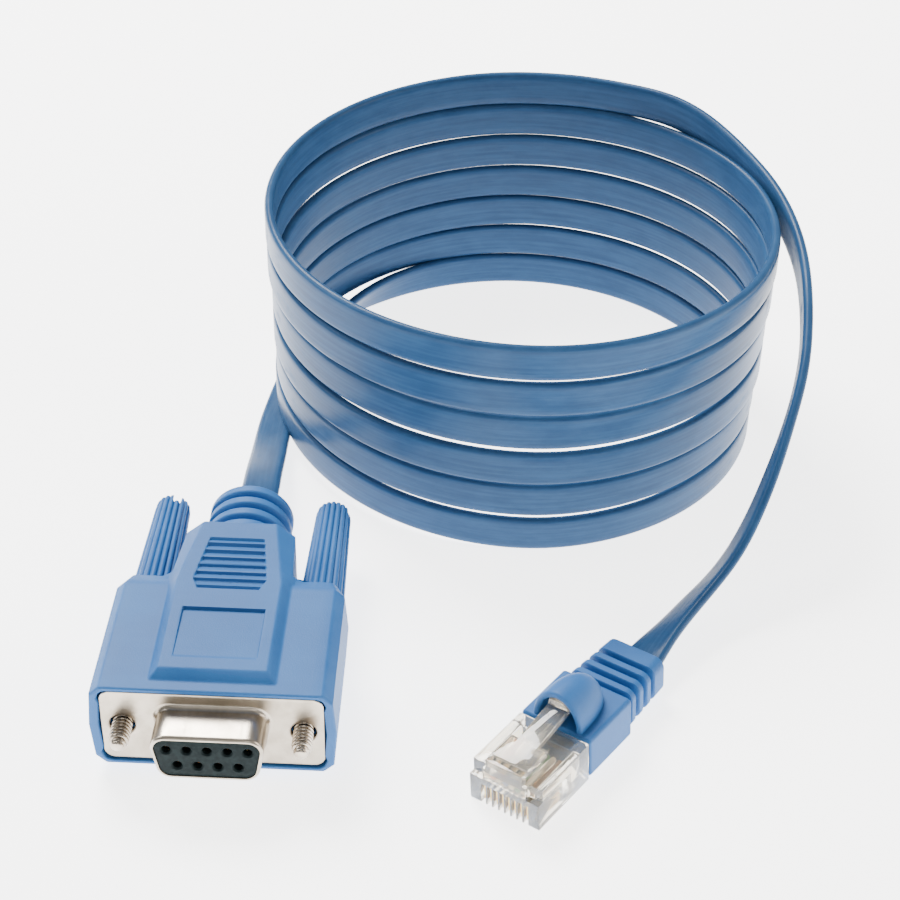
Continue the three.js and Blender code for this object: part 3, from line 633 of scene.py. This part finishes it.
# %% Cut the holes into the hood
SCREW_HOLE, BORE_START, BORE_END, SEAT_END, SEAT_PLAY = 1.73, 0.9, 30, 4.3, 0.3
screw_bores = at_screws([[SCREW_HOLE, BORE_START], [SCREW_HOLE, BORE_END]], 40)
insulator_seat = tube(in_connector(d_rings([(-SEAT_PLAY, BORE_START), (-SEAT_PLAY, SEAT_END)])))
points, faces = tube(hood_rings)
hood = as_piece("moulded_hood", points, faces, sharp=32, cutters=[*screw_bores, insulator_seat])
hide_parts("hood")
print("hood faces:", len(hood.data.polygons))

# %% [markdown]
# ## Strain relief and thumbscrews
# Behind the neck sits a stack of four soft rings on a thinner core, which lets the cable bend gently. It is
# round, so it is one profile turned about the cable. The screws beside it are long steel rods with a fluted
# grip, turned by fingers or by a screwdriver in the slot at the end; only their tips with a fine thread
# show in front of the flange.

# %% Strain relief
def band_rise(y, start, end, edge):
    """0 outside a band and 1 inside it, with quarter-round shoulders as wide as edge."""
    inward = np.minimum(y - start, end - y)
    missing = 1 - np.clip(inward / edge, 0, 1)
    return np.where(inward > 0, np.sqrt(1 - missing * missing), 0)


RELIEF_START, RELIEF_END, RELIEF_CORE, RELIEF_RING = NECK_END_Y + 0.3, 46.18, 5.3, 6.45
FIRST_RING, RING_COUNT, RING_PITCH, RING_WIDTH, RING_EDGE = 36.1, 4, 2.66, 2.1, 0.62
ring_starts = FIRST_RING + RING_PITCH * np.arange(RING_COUNT)
relief_y = np.linspace(RELIEF_START, RELIEF_END, 260)
rises = [band_rise(relief_y, start, start + RING_WIDTH, RING_EDGE) for start in ring_starts]
relief_radius = RELIEF_CORE + (RELIEF_RING - RELIEF_CORE) * np.max(rises, axis=0)
points, faces = tube(in_connector(turned(np.stack([relief_radius, relief_y], -1), 80)))
relief = as_piece("ringed_relief", points, faces, sharp=50)
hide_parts("strain_relief")
print("strain relief faces:", len(faces))

# %% Threaded screws
THREAD_PITCH, THREAD_DEPTH = 0.635, 0.36
SCREW_RADIUS, SCREW_TIP_Y, THREAD_END_Y, SCREW_END_Y = 1.42, -4.28, 1.4, 33.5

# The rounded tip: each row is y and radius
SCREW_TIP = [(SCREW_TIP_Y, 0.45), (-4.2, 0.72), (-4.0, 0.92), (-3.5, 1.15), (-2.9, SCREW_RADIUS)]


def thread(angle, y):
    """A crest that winds once round per pitch, fading out at the tip and inside the hood."""
    turn = np.mod(y / THREAD_PITCH - angle / (2 * np.pi), 1.0)
    crest = 1 - np.abs(turn * 2 - 1)
    fade = soft_step(y, SCREW_TIP_Y + 0.15, SCREW_TIP_Y + 0.8) * soft_step(1.0 - y, 0, 0.5)
    return -THREAD_DEPTH * (1 - np.clip(crest * 1.6, 0, 1)) * fade


def make_screw(name, x, body, node):
    """A rod with fine steps along its thread and few along its hidden shank."""
    threaded = np.linspace(SCREW_TIP_Y, THREAD_END_Y, 100)
    y = np.concatenate([threaded, np.linspace(THREAD_END_Y + 0.2, SCREW_END_Y, 5)])
    radius = np.interp(y, *zip(*SCREW_TIP))
    points, faces = tube(in_connector(turned(np.stack([radius, y], -1), 32, thread) + [x, 0, 0]))
    screw = as_piece(name, points, faces, body=body, sharp=60)
    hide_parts(node)
    return screw


screws = [
    make_screw("threaded_screw_left", -SCREW_X, "thumbscrew_left", "jackscrew_left"),
    make_screw("threaded_screw_right", SCREW_X, "thumbscrew_right", "jackscrew_right"),
]
print("screws:", [screw.name for screw in screws])

# %% Fluted grips
GRIP_START, FLUTES, FLUTE_DEPTH, FLUTE_POINTS = SHOULDER_END_Y + 0.3, 18, 0.4, 8
SLOT_WIDTH, SLOT_DEPTH, SLOT_REACH = 1.3, 1.6, 5

# A round shoulder, a slow taper and a rounded end: each row is y and radius
GRIP_OUTLINE = [
    (GRIP_START, 2.9),
    (24.55, 3.2),
    (24.75, 3.4),
    (46.4, 2.72),
    (47.2, 2.62),
    (47.6, 2.48),
    (GRIP_END, 2.2),
]


def flute(angle, y):
    """Rounded ridges with narrow grooves between them, running the length of the grip."""
    wave = np.abs(np.sin(angle * FLUTES / 2))
    return -FLUTE_DEPTH * (1 - wave**0.6) * soft_step(y, GRIP_START, GRIP_START + 0.3)


def slot_block(x, turn):
    """A block as wide and deep as the screwdriver slot across a grip's end, turned about the grip's axis."""
    half = SLOT_WIDTH / 2
    section = np.array([[-half, SLOT_REACH], [half, SLOT_REACH], [half, -SLOT_REACH], [-half, -SLOT_REACH]])
    side = turn_matrix("y", turn)
    rings = [np.insert(section, 1, y, axis=1) @ side.T for y in (GRIP_END - SLOT_DEPTH, GRIP_END + 1)]
    return tube(in_connector(np.stack(rings) + [x, 0, 0]))


def make_grip(name, x, body, node, slot_turn):
    """A fluted grip with a bore for its screw and a slot that stands at the angle slot_turn."""
    shoulder = np.linspace(GRIP_START, GRIP_START + 0.4, 6)
    y = np.concatenate([shoulder, np.linspace(25.5, 46, 8), np.linspace(46.4, GRIP_END, 12)])
    profile = np.stack([np.interp(y, *zip(*GRIP_OUTLINE)), y], -1)
    points, faces = tube(in_connector(turned(profile, FLUTES * FLUTE_POINTS, flute) + [x, 0, 0]))
    bore_profile = [[SCREW_HOLE, GRIP_START - 0.5], [SCREW_HOLE, SCREW_END_Y + 0.3]]
    bore = tube(in_connector(turned(bore_profile, 32) + [x, 0, 0]))
    grip = as_piece(name, points, faces, body=body, sharp=36, cutters=[bore, slot_block(x, slot_turn)])
    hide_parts(node)
    return grip


grips = [
    make_grip("fluted_grip_left", -SCREW_X, "thumbscrew_left", "thumbscrew_knob_left", 0.35),
    make_grip("fluted_grip_right", SCREW_X, "thumbscrew_right", "thumbscrew_knob_right", 1.25),
]
print("grips:", [(grip.name, len(grip.data.polygons)) for grip in grips])

# %% [markdown]
# ## The D shell
# The shell and its flange are one piece of thin steel, drawn through a die. Drawn metal has no sharp edges:
# the foot flares into the flange and the lip is rounded over. So the shell is a short closed profile of
# foot, wall, lip and inner wall, carried round a D-shaped outline, and the flange is a plate with softened
# edges and two flared holes.

# %% Shell and flange
def quarter(inset, y, inset_reach, y_reach, steps=8):
    """A quarter of an ellipse that starts along y and ends across it."""
    a = np.linspace(0, np.pi / 2, steps)
    return np.stack([inset + inset_reach * (1 - np.cos(a)), y + y_reach * np.sin(a)], -1)


FOOT_RADIUS, LIP_RADIUS = 0.8, 0.55
foot = quarter(0, -FOOT_RADIUS, -FOOT_RADIUS, FOOT_RADIUS)[::-1]
lip = quarter(0, LIP_RADIUS - SHELL_REACH, LIP_RADIUS, -LIP_RADIUS)

# Each row is how far the point lies inside the D outline, and its y
inner_wall = [(0.6, -5.8), (0.6, -5.6), (0.5, -5.3), (0.5, 0.75), (-0.4, 0.75), (-0.8, 0.4)]
shell_rings = in_connector(d_rings(np.vstack([inner_wall[::-1], lip[::-1], foot[::-1]])[::-1]))
shell_faces = quads(len(shell_rings), shell_rings.shape[1], wrap_rows=True, wrap_columns=True)
shell = as_piece("drawn_shell", shell_rings.reshape(-1, 3), shell_faces[:, ::-1].tolist(), sharp=60)


def rounded_rectangle(half_width, low, high, radius, per_corner=9):
    """Points of a rectangle with round corners: along the top from left to right, then down and back."""
    a = np.linspace(0, np.pi / 2, per_corner)
    across, rise = radius * np.sin(a), radius * np.cos(a)
    left, right = radius - half_width, half_width - radius
    corners = [
        np.stack([left - rise, high - radius + across], -1),
        np.stack([right + across, high - radius + rise], -1),
        np.stack([right + rise, low + radius - across], -1),
        np.stack([left - across, low + radius - rise], -1),
    ]
    return np.vstack(corners)


FLANGE_HALF_WIDTH, FLANGE_HALF_HEIGHT, FLANGE_CORNER = 15.4, 6.27, 1.5


def flange_ring(inset, y):
    """The flange's outline drawn in by inset, at y."""
    top = FLANGE_HALF_HEIGHT - inset
    outline = rounded_rectangle(FLANGE_HALF_WIDTH - inset, -top, top, FLANGE_CORNER)
    return np.insert(outline, 1, y, axis=1)


# Each row is an inset and y, so that the plate's edges come out soft
flange_steps = [(0.5, 0.0), (0.16, 0.0), (0.05, 0.05), (0, 0.16), (0, 0.64), (0.05, 0.75), (0.16, 0.8)]
flange_rings = in_connector(np.stack([flange_ring(inset, y) for inset, y in flange_steps]))
flared = [[2.35, -0.5], [2.2, -0.02], [1.95, 0.06], [1.78, 0.25], [SCREW_HOLE, 0.5], [SCREW_HOLE, 2]]
holes = at_screws(flared, 40)
opening = tube(in_connector(d_rings([(0.5, -1), (0.5, 2)])))
flange = as_piece("flange", *tube(flange_rings), sharp=40, cutters=[*holes, opening])
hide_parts("d_shell")
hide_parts("d_shell")
print("shell faces:", len(shell.data.polygons), "flange faces:", len(flange.data.polygons))

# %% Insulator with nine bevelled holes
INSULATOR_FRONT, INSULATOR_BACK = -5.7, 4.0

# A hole from the front, bevelled at its mouth and wider where the contact sits: each row is radius and y
hole_profile = [[0.95, -6.2], [0.86, -5.7], [0.66, -5.48], [0.62, -4.8], [0.98, -4.78], [0.98, 5.0]]
upper_row = [(CONTACT_PITCH * i, ROW_SPACING / 2) for i in (-2, -1, 0, 1, 2)]
lower_row = [(CONTACT_PITCH * i, -ROW_SPACING / 2) for i in (-1.5, -0.5, 0.5, 1.5)]
contact_holes = [tube(in_connector(turned(hole_profile, 28) + [x, 0, z])) for x, z in upper_row + lower_row]
insulator_steps = [(0.78, INSULATOR_FRONT), (0.68, -5.66), (0.65, -5.55), (0.65, INSULATOR_BACK)]
insulator_rings = in_connector(d_rings(insulator_steps))
insulator = as_piece("moulded_insulator", *tube(insulator_rings), sharp=35, cutters=contact_holes)
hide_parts("insulator")
print("insulator faces:", len(insulator.data.polygons))

# %% [markdown]
# ## The boot
# The boot is moulded over the end of the plug and the cable. Its body is a box with round corners, followed
# by three soft ribs and a collar on a thinner core. A thin arched cover on top protects the latch: it is
# open at the front and closes in a rounded dome at the rear, so it is one sheet that runs along the inside,
# round the rim and back outside.

# %% Boot body, ribs and collar
BOOT_START, BOOT_BODY_END, BOOT_END, BOOT_HEIGHT = 12.4, 22.9, 33.3, 6.9
BODY_HALF_WIDTH, BODY_CORNER, BODY_EDGE = 5.85, 0.7, 0.4
CORE_HALF_WIDTH, CORE_INSET, CORE_CORNER, TAPER = 4.25, 1.35, 1.5, 0.055
RIB_START, RIB_COUNT, RIB_PITCH, RIB_WIDTH, RIB_HEIGHT, RIB_EDGE = 23.72, 3, 2.15, 1.42, 1.1, 0.3


def make_boot():
    """Rounded rectangles along the boot: the body's, then the core's, which grow at ribs and collar."""
    y = np.linspace(BOOT_START, BOOT_END, 300)
    in_body = y < BOOT_BODY_END
    starts = [RIB_START + i * RIB_PITCH for i in range(RIB_COUNT + 1)]
    ends = [start + RIB_WIDTH for start in starts[:-1]] + [BOOT_END]
    rise = np.max([band_rise(y, start, end, RIB_EDGE) for start, end in zip(starts, ends)], axis=0)
    rounding = BODY_EDGE * (1 - band_rise(y, BOOT_START - 0.001, BOOT_BODY_END, BODY_EDGE))
    narrowing = TAPER * np.clip(y - BOOT_BODY_END, 0, None)
    sunk = CORE_INSET - RIB_HEIGHT * rise
    half = np.where(in_body, BODY_HALF_WIDTH - rounding, CORE_HALF_WIDTH + RIB_HEIGHT * rise - narrowing)
    low = np.where(in_body, rounding, sunk)
    high = BOOT_HEIGHT - np.where(in_body, rounding, sunk + 0.5 * narrowing)
    radius = np.where(in_body, BODY_CORNER, CORE_CORNER)
    sizes = zip(half, low, high, radius, y)
    return np.stack([np.insert(rounded_rectangle(*size), 1, at, axis=1) for *size, at in sizes])


points, faces = tube(in_plug(make_boot()))
boot = as_piece("moulded_boot", points, faces, sharp=40)
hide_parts("boot")
print("boot faces:", len(faces))

# %% The latch cover
ARCH_COLUMNS, ARCH_ROWS, DOME_POWER = 49, 30, 2.6
COVER_FRONT, COVER_SUNK, RIM_BULGE = 13.05, 0.25, 0.35


def arch(half_width, height, length):
    """Arcs from left to right, whose size falls to nothing at the rear like a rounded dome.

    With reach going from 0 to nearly 1, y is front + length * reach and the size is (1 - reach^p)^(1/p).
    """
    angle = np.linspace(np.pi, 0, ARCH_COLUMNS)
    reach = np.sin(np.linspace(0, np.pi / 2 * 0.997, ARCH_ROWS))
    size = ((1 - reach**DOME_POWER) ** (1 / DOME_POWER))[:, None]
    x = half_width * size * np.cos(angle)
    y = np.repeat((COVER_FRONT + length * reach)[:, None], ARCH_COLUMNS, 1)
    z = BOOT_HEIGHT - COVER_SUNK + (height + COVER_SUNK) * size * np.sin(angle)
    return np.stack([x, y, z], -1)


outside = arch(4.1, 5.5, 8.65)
inside = arch(3.15, 4.5, 6.9)
rim_turn = np.linspace(0, np.pi, 9)[1:-1, None, None]
rim = (inside[0] + outside[0]) / 2 + (inside[0] - outside[0]) / 2 * np.cos(rim_turn)
rim[..., 1] -= RIM_BULGE * np.sin(rim_turn[..., 0])
cover_grid = in_plug(np.concatenate([inside[::-1], rim, outside]))
cover_faces = quads(*cover_grid.shape[:2]).tolist()
cover = as_piece("latch_cover", cover_grid.reshape(-1, 3), cover_faces, sharp=50)
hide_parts("boot")
print("latch cover faces:", len(cover_faces))

# %% [markdown]
# ## Clear plug and latch
# The plug's flat faces and slots are right as they are in the solids; what they lack is the small radius on
# every edge that a moulding has and that catches the light in clear plastic. So each is copied, its seams
# are merged, and its edges are bevelled.

# %% Softened copies
def softened(name, node, width, body=ROOT):
    """A copy of a solid: doubled points merged, flat faces joined, and every edge over 30 degrees rounded."""
    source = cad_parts[node]
    shape = bmesh.new()
    shape.from_mesh(source.data)
    shape.transform(source.matrix_world)
    bmesh.ops.remove_doubles(shape, verts=shape.verts, dist=1e-7)
    bmesh.ops.dissolve_limit(shape, angle_limit=math.radians(1), verts=shape.verts, edges=shape.edges)
    edges = [edge for edge in shape.edges if edge.is_manifold and edge.calc_face_angle() > math.radians(30)]
    rounding = dict(offset=width * MM, segments=2, profile=0.5, affect="EDGES", clamp_overlap=True)
    bmesh.ops.bevel(shape, geom=edges, **rounding)
    mesh = bpy.data.meshes.new(name)
    shape.to_mesh(mesh)
    shape.free()
    mesh.shade_smooth()
    mesh.set_sharp_from_angle(angle=math.radians(40))
    piece = bpy.data.objects.new(name, mesh)
    bpy.context.scene.collection.objects.link(piece)
    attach(piece, body)
    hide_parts(node)
    return piece


clear_body = softened("clear_body", "plug_body", 0.09)
clear_latch = softened("clear_latch", "latch", 0.1, "latch")
print("clear pieces:", len(clear_body.data.polygons), len(clear_latch.data.polygons))

# %% [markdown]
# ## The cable's length and line
# The cable's real length and the line that it follows are worked out in metres here.

cable_length * MM
(middle * MM).tolist()

# %% [markdown]
# ## Writing materials as expressions
# A material is a small program: noise is mixed, sharpened and fed to colour, roughness and bump. Wiring
# that by hand is hard to read, so a socket is wrapped in a small class whose operators add the Math nodes.
# Colours are mixed with Mix nodes, since a Math node would turn them grey.

# %% The socket wrapper
class Wire:
    """A value in a material. Sums and products of wires add Math nodes."""

    def __init__(self, material, socket):
        self.material, self.socket = material, socket

    def maths(self, operation, *values):
        """One Math node, with these values on its inputs."""
        return self.material.node("ShaderNodeMath", dict(operation=operation), dict(enumerate(values)))

    def __add__(self, other):
        return self.maths("ADD", self, other)

    def __mul__(self, other):
        return self.maths("MULTIPLY", self, other)

    __radd__, __rmul__ = __add__, __mul__

    def between(self, low, high):
        """0 below low, 1 above high, smooth between."""
        settings = dict(interpolation_type="SMOOTHSTEP")
        values = {"Value": self, "From Min": low, "From Max": high}
        return self.material.node("ShaderNodeMapRange", settings, values)


class Finish:
    """A material under construction around one Principled shader."""

    def __init__(self, name):
        self.made = bpy.data.materials.new(name)
        self.made.use_nodes = True
        self.tree = self.made.node_tree
        self.shader = self.tree.nodes["Principled BSDF"]

    def node(self, kind, settings, values, output=0):
        """Adds a node, sets its properties, feeds its inputs, and gives back one of its outputs."""
        made = self.tree.nodes.new(kind)
        for key, setting in settings.items():
            setattr(made, key, setting)
        for key, value in values.items():
            self.feed(made.inputs[key], value)
        return Wire(self, made.outputs[output])

    def feed(self, socket, value):
        """Links a wire to a socket, or sets a plain value on it."""
        if isinstance(value, Wire):
            self.tree.links.new(value.socket, socket)
        else:
            socket.default_value = value

    def set(self, **values):
        """Feeds the shader's own sockets: base_color stands for Base Color, and so on."""
        for key, value in values.items():
            self.feed(self.shader.inputs[key.replace("_", " ").title()], value)

    def place(self):
        """The place on the piece, in metres."""
        return self.node("ShaderNodeTexCoord", {}, {}, output="Object")

    def stretched(self, vector, scale, turn=(0, 0, 0)):
        """A place scaled by its own amount along each axis, so that a noise at it comes out drawn long."""
        return self.node("ShaderNodeMapping", {}, {"Vector": vector, "Scale": scale, "Rotation": turn})

    def noise(self, scale, detail=3.0, rough=0.5, vector=None):
        """Clouds between 0 and 1; scale is how many there are to the metre."""
        values = {"Vector": vector or self.place(), "Scale": scale, "Detail": detail, "Roughness": rough}
        return self.node("ShaderNodeTexNoise", {}, values)

    def blend(self, amount, first, second):
        """The first colour where amount is 0 and the second where it is 1."""
        mix = self.tree.nodes.new("ShaderNodeMix")
        mix.data_type = "RGBA"
        self.feed(mix.inputs["Factor"], amount)
        for key, colour in (("A", first), ("B", second)):
            socket = next(s for s in mix.inputs if s.name == key and s.type == "RGBA")
            self.feed(socket, (*colour, 1))
        return Wire(self, next(s for s in mix.outputs if s.type == "RGBA"))

    def bump(self, height, distance, strength):
        """Tilts the surface by the slope of height, where a height of 1 is as tall as distance, in metres."""
        values = {"Height": height, "Distance": distance, "Strength": strength}
        return self.node("ShaderNodeBump", {}, values)


def paint(pieces, finish):
    """Gives one finish to pieces, in place of what they had."""
    for piece in pieces:
        piece.data.materials.clear()
        piece.data.materials.append(finish.made)


print("material helpers ready")

# %% [markdown]
# ## The moulded blue vinyl
# Hood, strain relief, boot and grips are moulded in one soft light blue vinyl. It is satin, with a very
# fine skin from the mould's spark-worn surface, and its colour drifts a little over the part. Two noises do
# this: a slow one for the colour and the sheen, and a fine one for the skin.

# %% Moulded vinyl
VINYL_LIGHT, VINYL_DEEP = (0.034, 0.138, 0.365), (0.023, 0.106, 0.300)


def moulded_vinyl():
    """Colour and sheen drift slowly; a fine skin of tiny bumps lies over both."""
    vinyl = Finish("moulded_vinyl")
    drift = vinyl.noise(70, 3)
    skin = vinyl.noise(5200, 2, 0.6)
    flow = vinyl.noise(1.0, 3, 0.6, vinyl.stretched(vinyl.place(), (160, 900, 160)))
    tone = (drift * 0.75 + flow * 0.1 + skin * 0.15).between(0.32, 0.68)
    vinyl.set(base_color=vinyl.blend(tone, VINYL_DEEP, VINYL_LIGHT))
    vinyl.set(roughness=0.40 + drift * 0.14 + skin * 0.06)
    vinyl.set(normal=vinyl.bump(skin, 0.00006, 0.6))
    vinyl.shader.inputs["IOR"].default_value = 1.3
    return vinyl


vinyl = moulded_vinyl()
vinyl_pieces = [hood, relief, *grips, boot, cover]
paint(vinyl_pieces, vinyl)
print("vinyl on", len(vinyl_pieces), "pieces")

# %% [markdown]
# ## The cable's jacket
# The jacket is extruded, so everything on it runs lengthwise: faint ridges over the wires inside and long
# soft streaks in the sheen. Where it was wound, its faces carry hazy patches. The pattern follows the
# cable, so it reads the map whose u runs along the length and v across the width, both in metres.

# %% Extruded jacket
JACKET_LIGHT, JACKET_DEEP = (0.027, 0.080, 0.178), (0.017, 0.054, 0.130)
WIRE_PITCH = 0.00068


def extruded_jacket():
    """Streaks and ridges run along the map's u; the haze is turned a little across it."""
    jacket = Finish("extruded_jacket")
    mapped = jacket.node("ShaderNodeUVMap", dict(uv_map="along"), {})
    streaks = jacket.noise(1.0, 4, 0.55, jacket.stretched(mapped, (60, 1500, 1)))
    haze = jacket.noise(1.0, 5, 0.62, jacket.stretched(mapped, (190, 420, 1), (0, 0, 0.5)))
    across = jacket.node("ShaderNodeSeparateXYZ", {}, {"Vector": mapped}, output="Y")
    ridges = across.maths("SINE", across * (2 * math.pi / WIRE_PITCH))
    skin = jacket.noise(6500, 2)
    patches = haze.between(0.5, 0.72)
    tone = (streaks * 0.6 + haze * 0.4).between(0.32, 0.68)
    jacket.set(base_color=jacket.blend(tone, JACKET_DEEP, JACKET_LIGHT))
    jacket.set(roughness=0.27 + patches * 0.14 + streaks * 0.06)
    height = ridges * 0.1 + haze * 0.3 + skin * 0.12
    jacket.set(normal=jacket.bump(height, 0.00003, 0.55))
    jacket.shader.inputs["IOR"].default_value = 1.22
    return jacket


jacket = extruded_jacket()
paint([cable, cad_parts["jacket_end"]], jacket)
print("jacket on the cable")

# %% [markdown]
# ## Plated metal, insulator and clear plastic
# The D shell is nickel-plated steel, drawn and tumbled, so it is bright with faint cloudy patches and fine
# scratches. The screws are plated too and duller, the contacts are gold, the insulator is dark slate
# plastic, and the plug is clear polycarbonate.

# %% Metals
def plated(name, colour, worn, rough, scratch_scale):
    """Cloudy metal with fine scratches, drawn long by scratch_scale."""
    metal = Finish(name)
    cloud = metal.noise(240, 4, 0.6)
    scratches = metal.noise(1.0, 2, 0.5, metal.stretched(metal.place(), scratch_scale))
    metal.set(base_color=metal.blend(cloud.between(0.35, 0.7), colour, worn))
    metal.set(roughness=rough + cloud * 0.12 + scratches.between(0.55, 0.7) * 0.06)
    metal.set(normal=metal.bump(scratches + cloud * 0.5, 0.000012, 0.35))
    metal.shader.inputs["Metallic"].default_value = 1.0
    return metal


nickel = plated("nickel_plate", (0.52, 0.46, 0.38), (0.40, 0.35, 0.28), 0.24, (900, 200, 3000))
steel = plated("plated_screw", (0.60, 0.53, 0.44), (0.36, 0.31, 0.25), 0.2, (400, 2600, 400))
gold = plated("gold_flash", (0.83, 0.60, 0.27), (0.72, 0.48, 0.20), 0.16, (600, 900, 600))
paint([shell, flange], nickel)
paint(screws, steel)
contacts = [f"socket_contact_{i}" for i in range(1, 10)] + [f"plug_contact_{i}" for i in range(1, 9)]
paint([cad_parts[name] for name in contacts], gold)
print("metals on", 4 + len(contacts), "pieces")

# %% Insulator, clear plastic and wires
def slate_insulator():
    """Dark plastic with fine flecks."""
    slate = Finish("slate_insulator")
    fleck = slate.noise(1400, 3)
    slate.set(base_color=slate.blend(fleck.between(0.3, 0.75), (0.006, 0.011, 0.012), (0.013, 0.021, 0.022)))
    slate.set(roughness=0.42 + fleck * 0.2)
    slate.set(normal=slate.bump(fleck, 0.00003, 0.5))
    slate.shader.inputs["IOR"].default_value = 1.15
    return slate


def clear_plastic():
    """Nearly colourless, with a slow flow in its tint and its surface."""
    clear = Finish("clear_polycarbonate")
    flow = clear.noise(1.0, 2, 0.5, clear.stretched(clear.place(), (240, 240, 500)))
    clear.set(base_color=clear.blend(flow.between(0.3, 0.7), (0.98, 0.94, 0.85), (0.93, 0.87, 0.75)))
    clear.set(roughness=0.04 + flow * 0.08)
    clear.set(normal=clear.bump(flow, 0.0001, 0.25))
    clear.shader.inputs["Transmission Weight"].default_value = 0.92
    clear.shader.inputs["IOR"].default_value = 1.5
    return clear


def wire_coat(name, colour):
    """A coloured wire, clouded a little deeper in places."""
    coat = Finish(name)
    tone = coat.noise(900, 3)
    deeper = tuple(value * 0.8 for value in colour)
    coat.set(base_color=coat.blend(tone.between(0.3, 0.7), deeper, colour))
    coat.set(roughness=0.42 + tone * 0.15)
    coat.set(normal=coat.bump(tone, 0.00002, 0.4))
    return coat


paint([insulator], slate_insulator())
clear = clear_plastic()
paint([clear_body, clear_latch], clear)
WIRE_COLOURS = {
    "cream": (0.85, 0.78, 0.66), "orange": (0.75, 0.28, 0.07), "blue": (0.07, 0.16, 0.48),
    "green": (0.07, 0.30, 0.12), "brown": (0.28, 0.14, 0.07),
}
coats = {name: wire_coat("wire_" + name, colour) for name, colour in WIRE_COLOURS.items()}
WIRE_ORDER = ["cream", "orange", "cream", "blue", "cream", "green", "cream", "brown"]
for number, colour in enumerate(WIRE_ORDER, start=1):
    paint([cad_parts[f"wire_{number}"]], coats[colour])
print("plastics and", len(WIRE_ORDER), "wires painted")

# %% [markdown]
# ## Floor and light
# The photograph is a catalogue picture: white all round, with hardly a shadow. So the floor gives off light
# of its own, which also reaches the undersides, as a lit white table does. The main lamp stands behind the
# coil and high up, and draws a soft sheen along the turns and the hood's top. Weaker lamps fill in from the
# left, from the right with a warmer tint, and from the front. The camera looks down so steeply that a flat
# floor shows no horizon.

# %% Floor, lamps and surroundings
def pale_floor():
    """Near white, and giving off some light of its own."""
    floor_finish = Finish("pale_floor")
    grain = floor_finish.noise(30, 2)
    floor_finish.set(base_color=floor_finish.blend(grain, (0.86, 0.86, 0.86), (0.88, 0.88, 0.88)))
    floor_finish.set(roughness=0.75 + grain * 0.05, emission_color=(0.9, 0.9, 0.9, 1))
    floor_finish.shader.inputs["Emission Strength"].default_value = 4.2
    return floor_finish


GROUND_REACH = 3000
ground_points = [[x * GROUND_REACH, y * GROUND_REACH, 0] for x, y in ((-1, -1), (1, -1), (1, 1), (-1, 1))]
ground = linked_object("ground", ground_points, [(0, 1, 2, 3)])
paint([ground], pale_floor())


def soft_lamp(name, place, target, size, power, colour):
    """A square lamp at place, in metres, that faces target."""
    data = bpy.data.lights.new(name, "AREA")
    data.size, data.energy, data.color = size, power, colour
    lamp = bpy.data.objects.new(name, data)
    bpy.context.scene.collection.objects.link(lamp)
    away = np.array(place, float) - np.array(target, float)
    away /= np.linalg.norm(away)
    side = np.cross([0, 0, 1.0], away)
    side /= np.linalg.norm(side)
    placed = np.eye(4)
    placed[:3, 0], placed[:3, 1], placed[:3, 2], placed[:3, 3] = side, np.cross(away, side), away, place
    lamp.matrix_world = Matrix(placed.tolist())


aim = (0.03, 0.03, 0.01)
soft_lamp("key_behind", (-0.25, 0.5, 0.68), aim, 0.4, 18.0, (1.0, 0.99, 0.98))
soft_lamp("left", (-0.62, 0.1, 0.6), aim, 0.35, 2.6, (1.0, 0.99, 0.97))
soft_lamp("warm_right", (0.75, -0.08, 0.3), aim, 0.5, 3.5, (1.0, 0.90, 0.80))
soft_lamp("front", (0.1, -0.75, 0.5), aim, 0.3, 0.8, (1.0, 0.96, 0.92))
surroundings = bpy.data.worlds.new("surroundings")
bpy.context.scene.world = surroundings
surroundings.use_nodes = True
background = surroundings.node_tree.nodes["Background"]
background.inputs["Color"].default_value = (0.95, 0.97, 1.0, 1.0)
background.inputs["Strength"].default_value = 0.34
print("floor and four lamps")
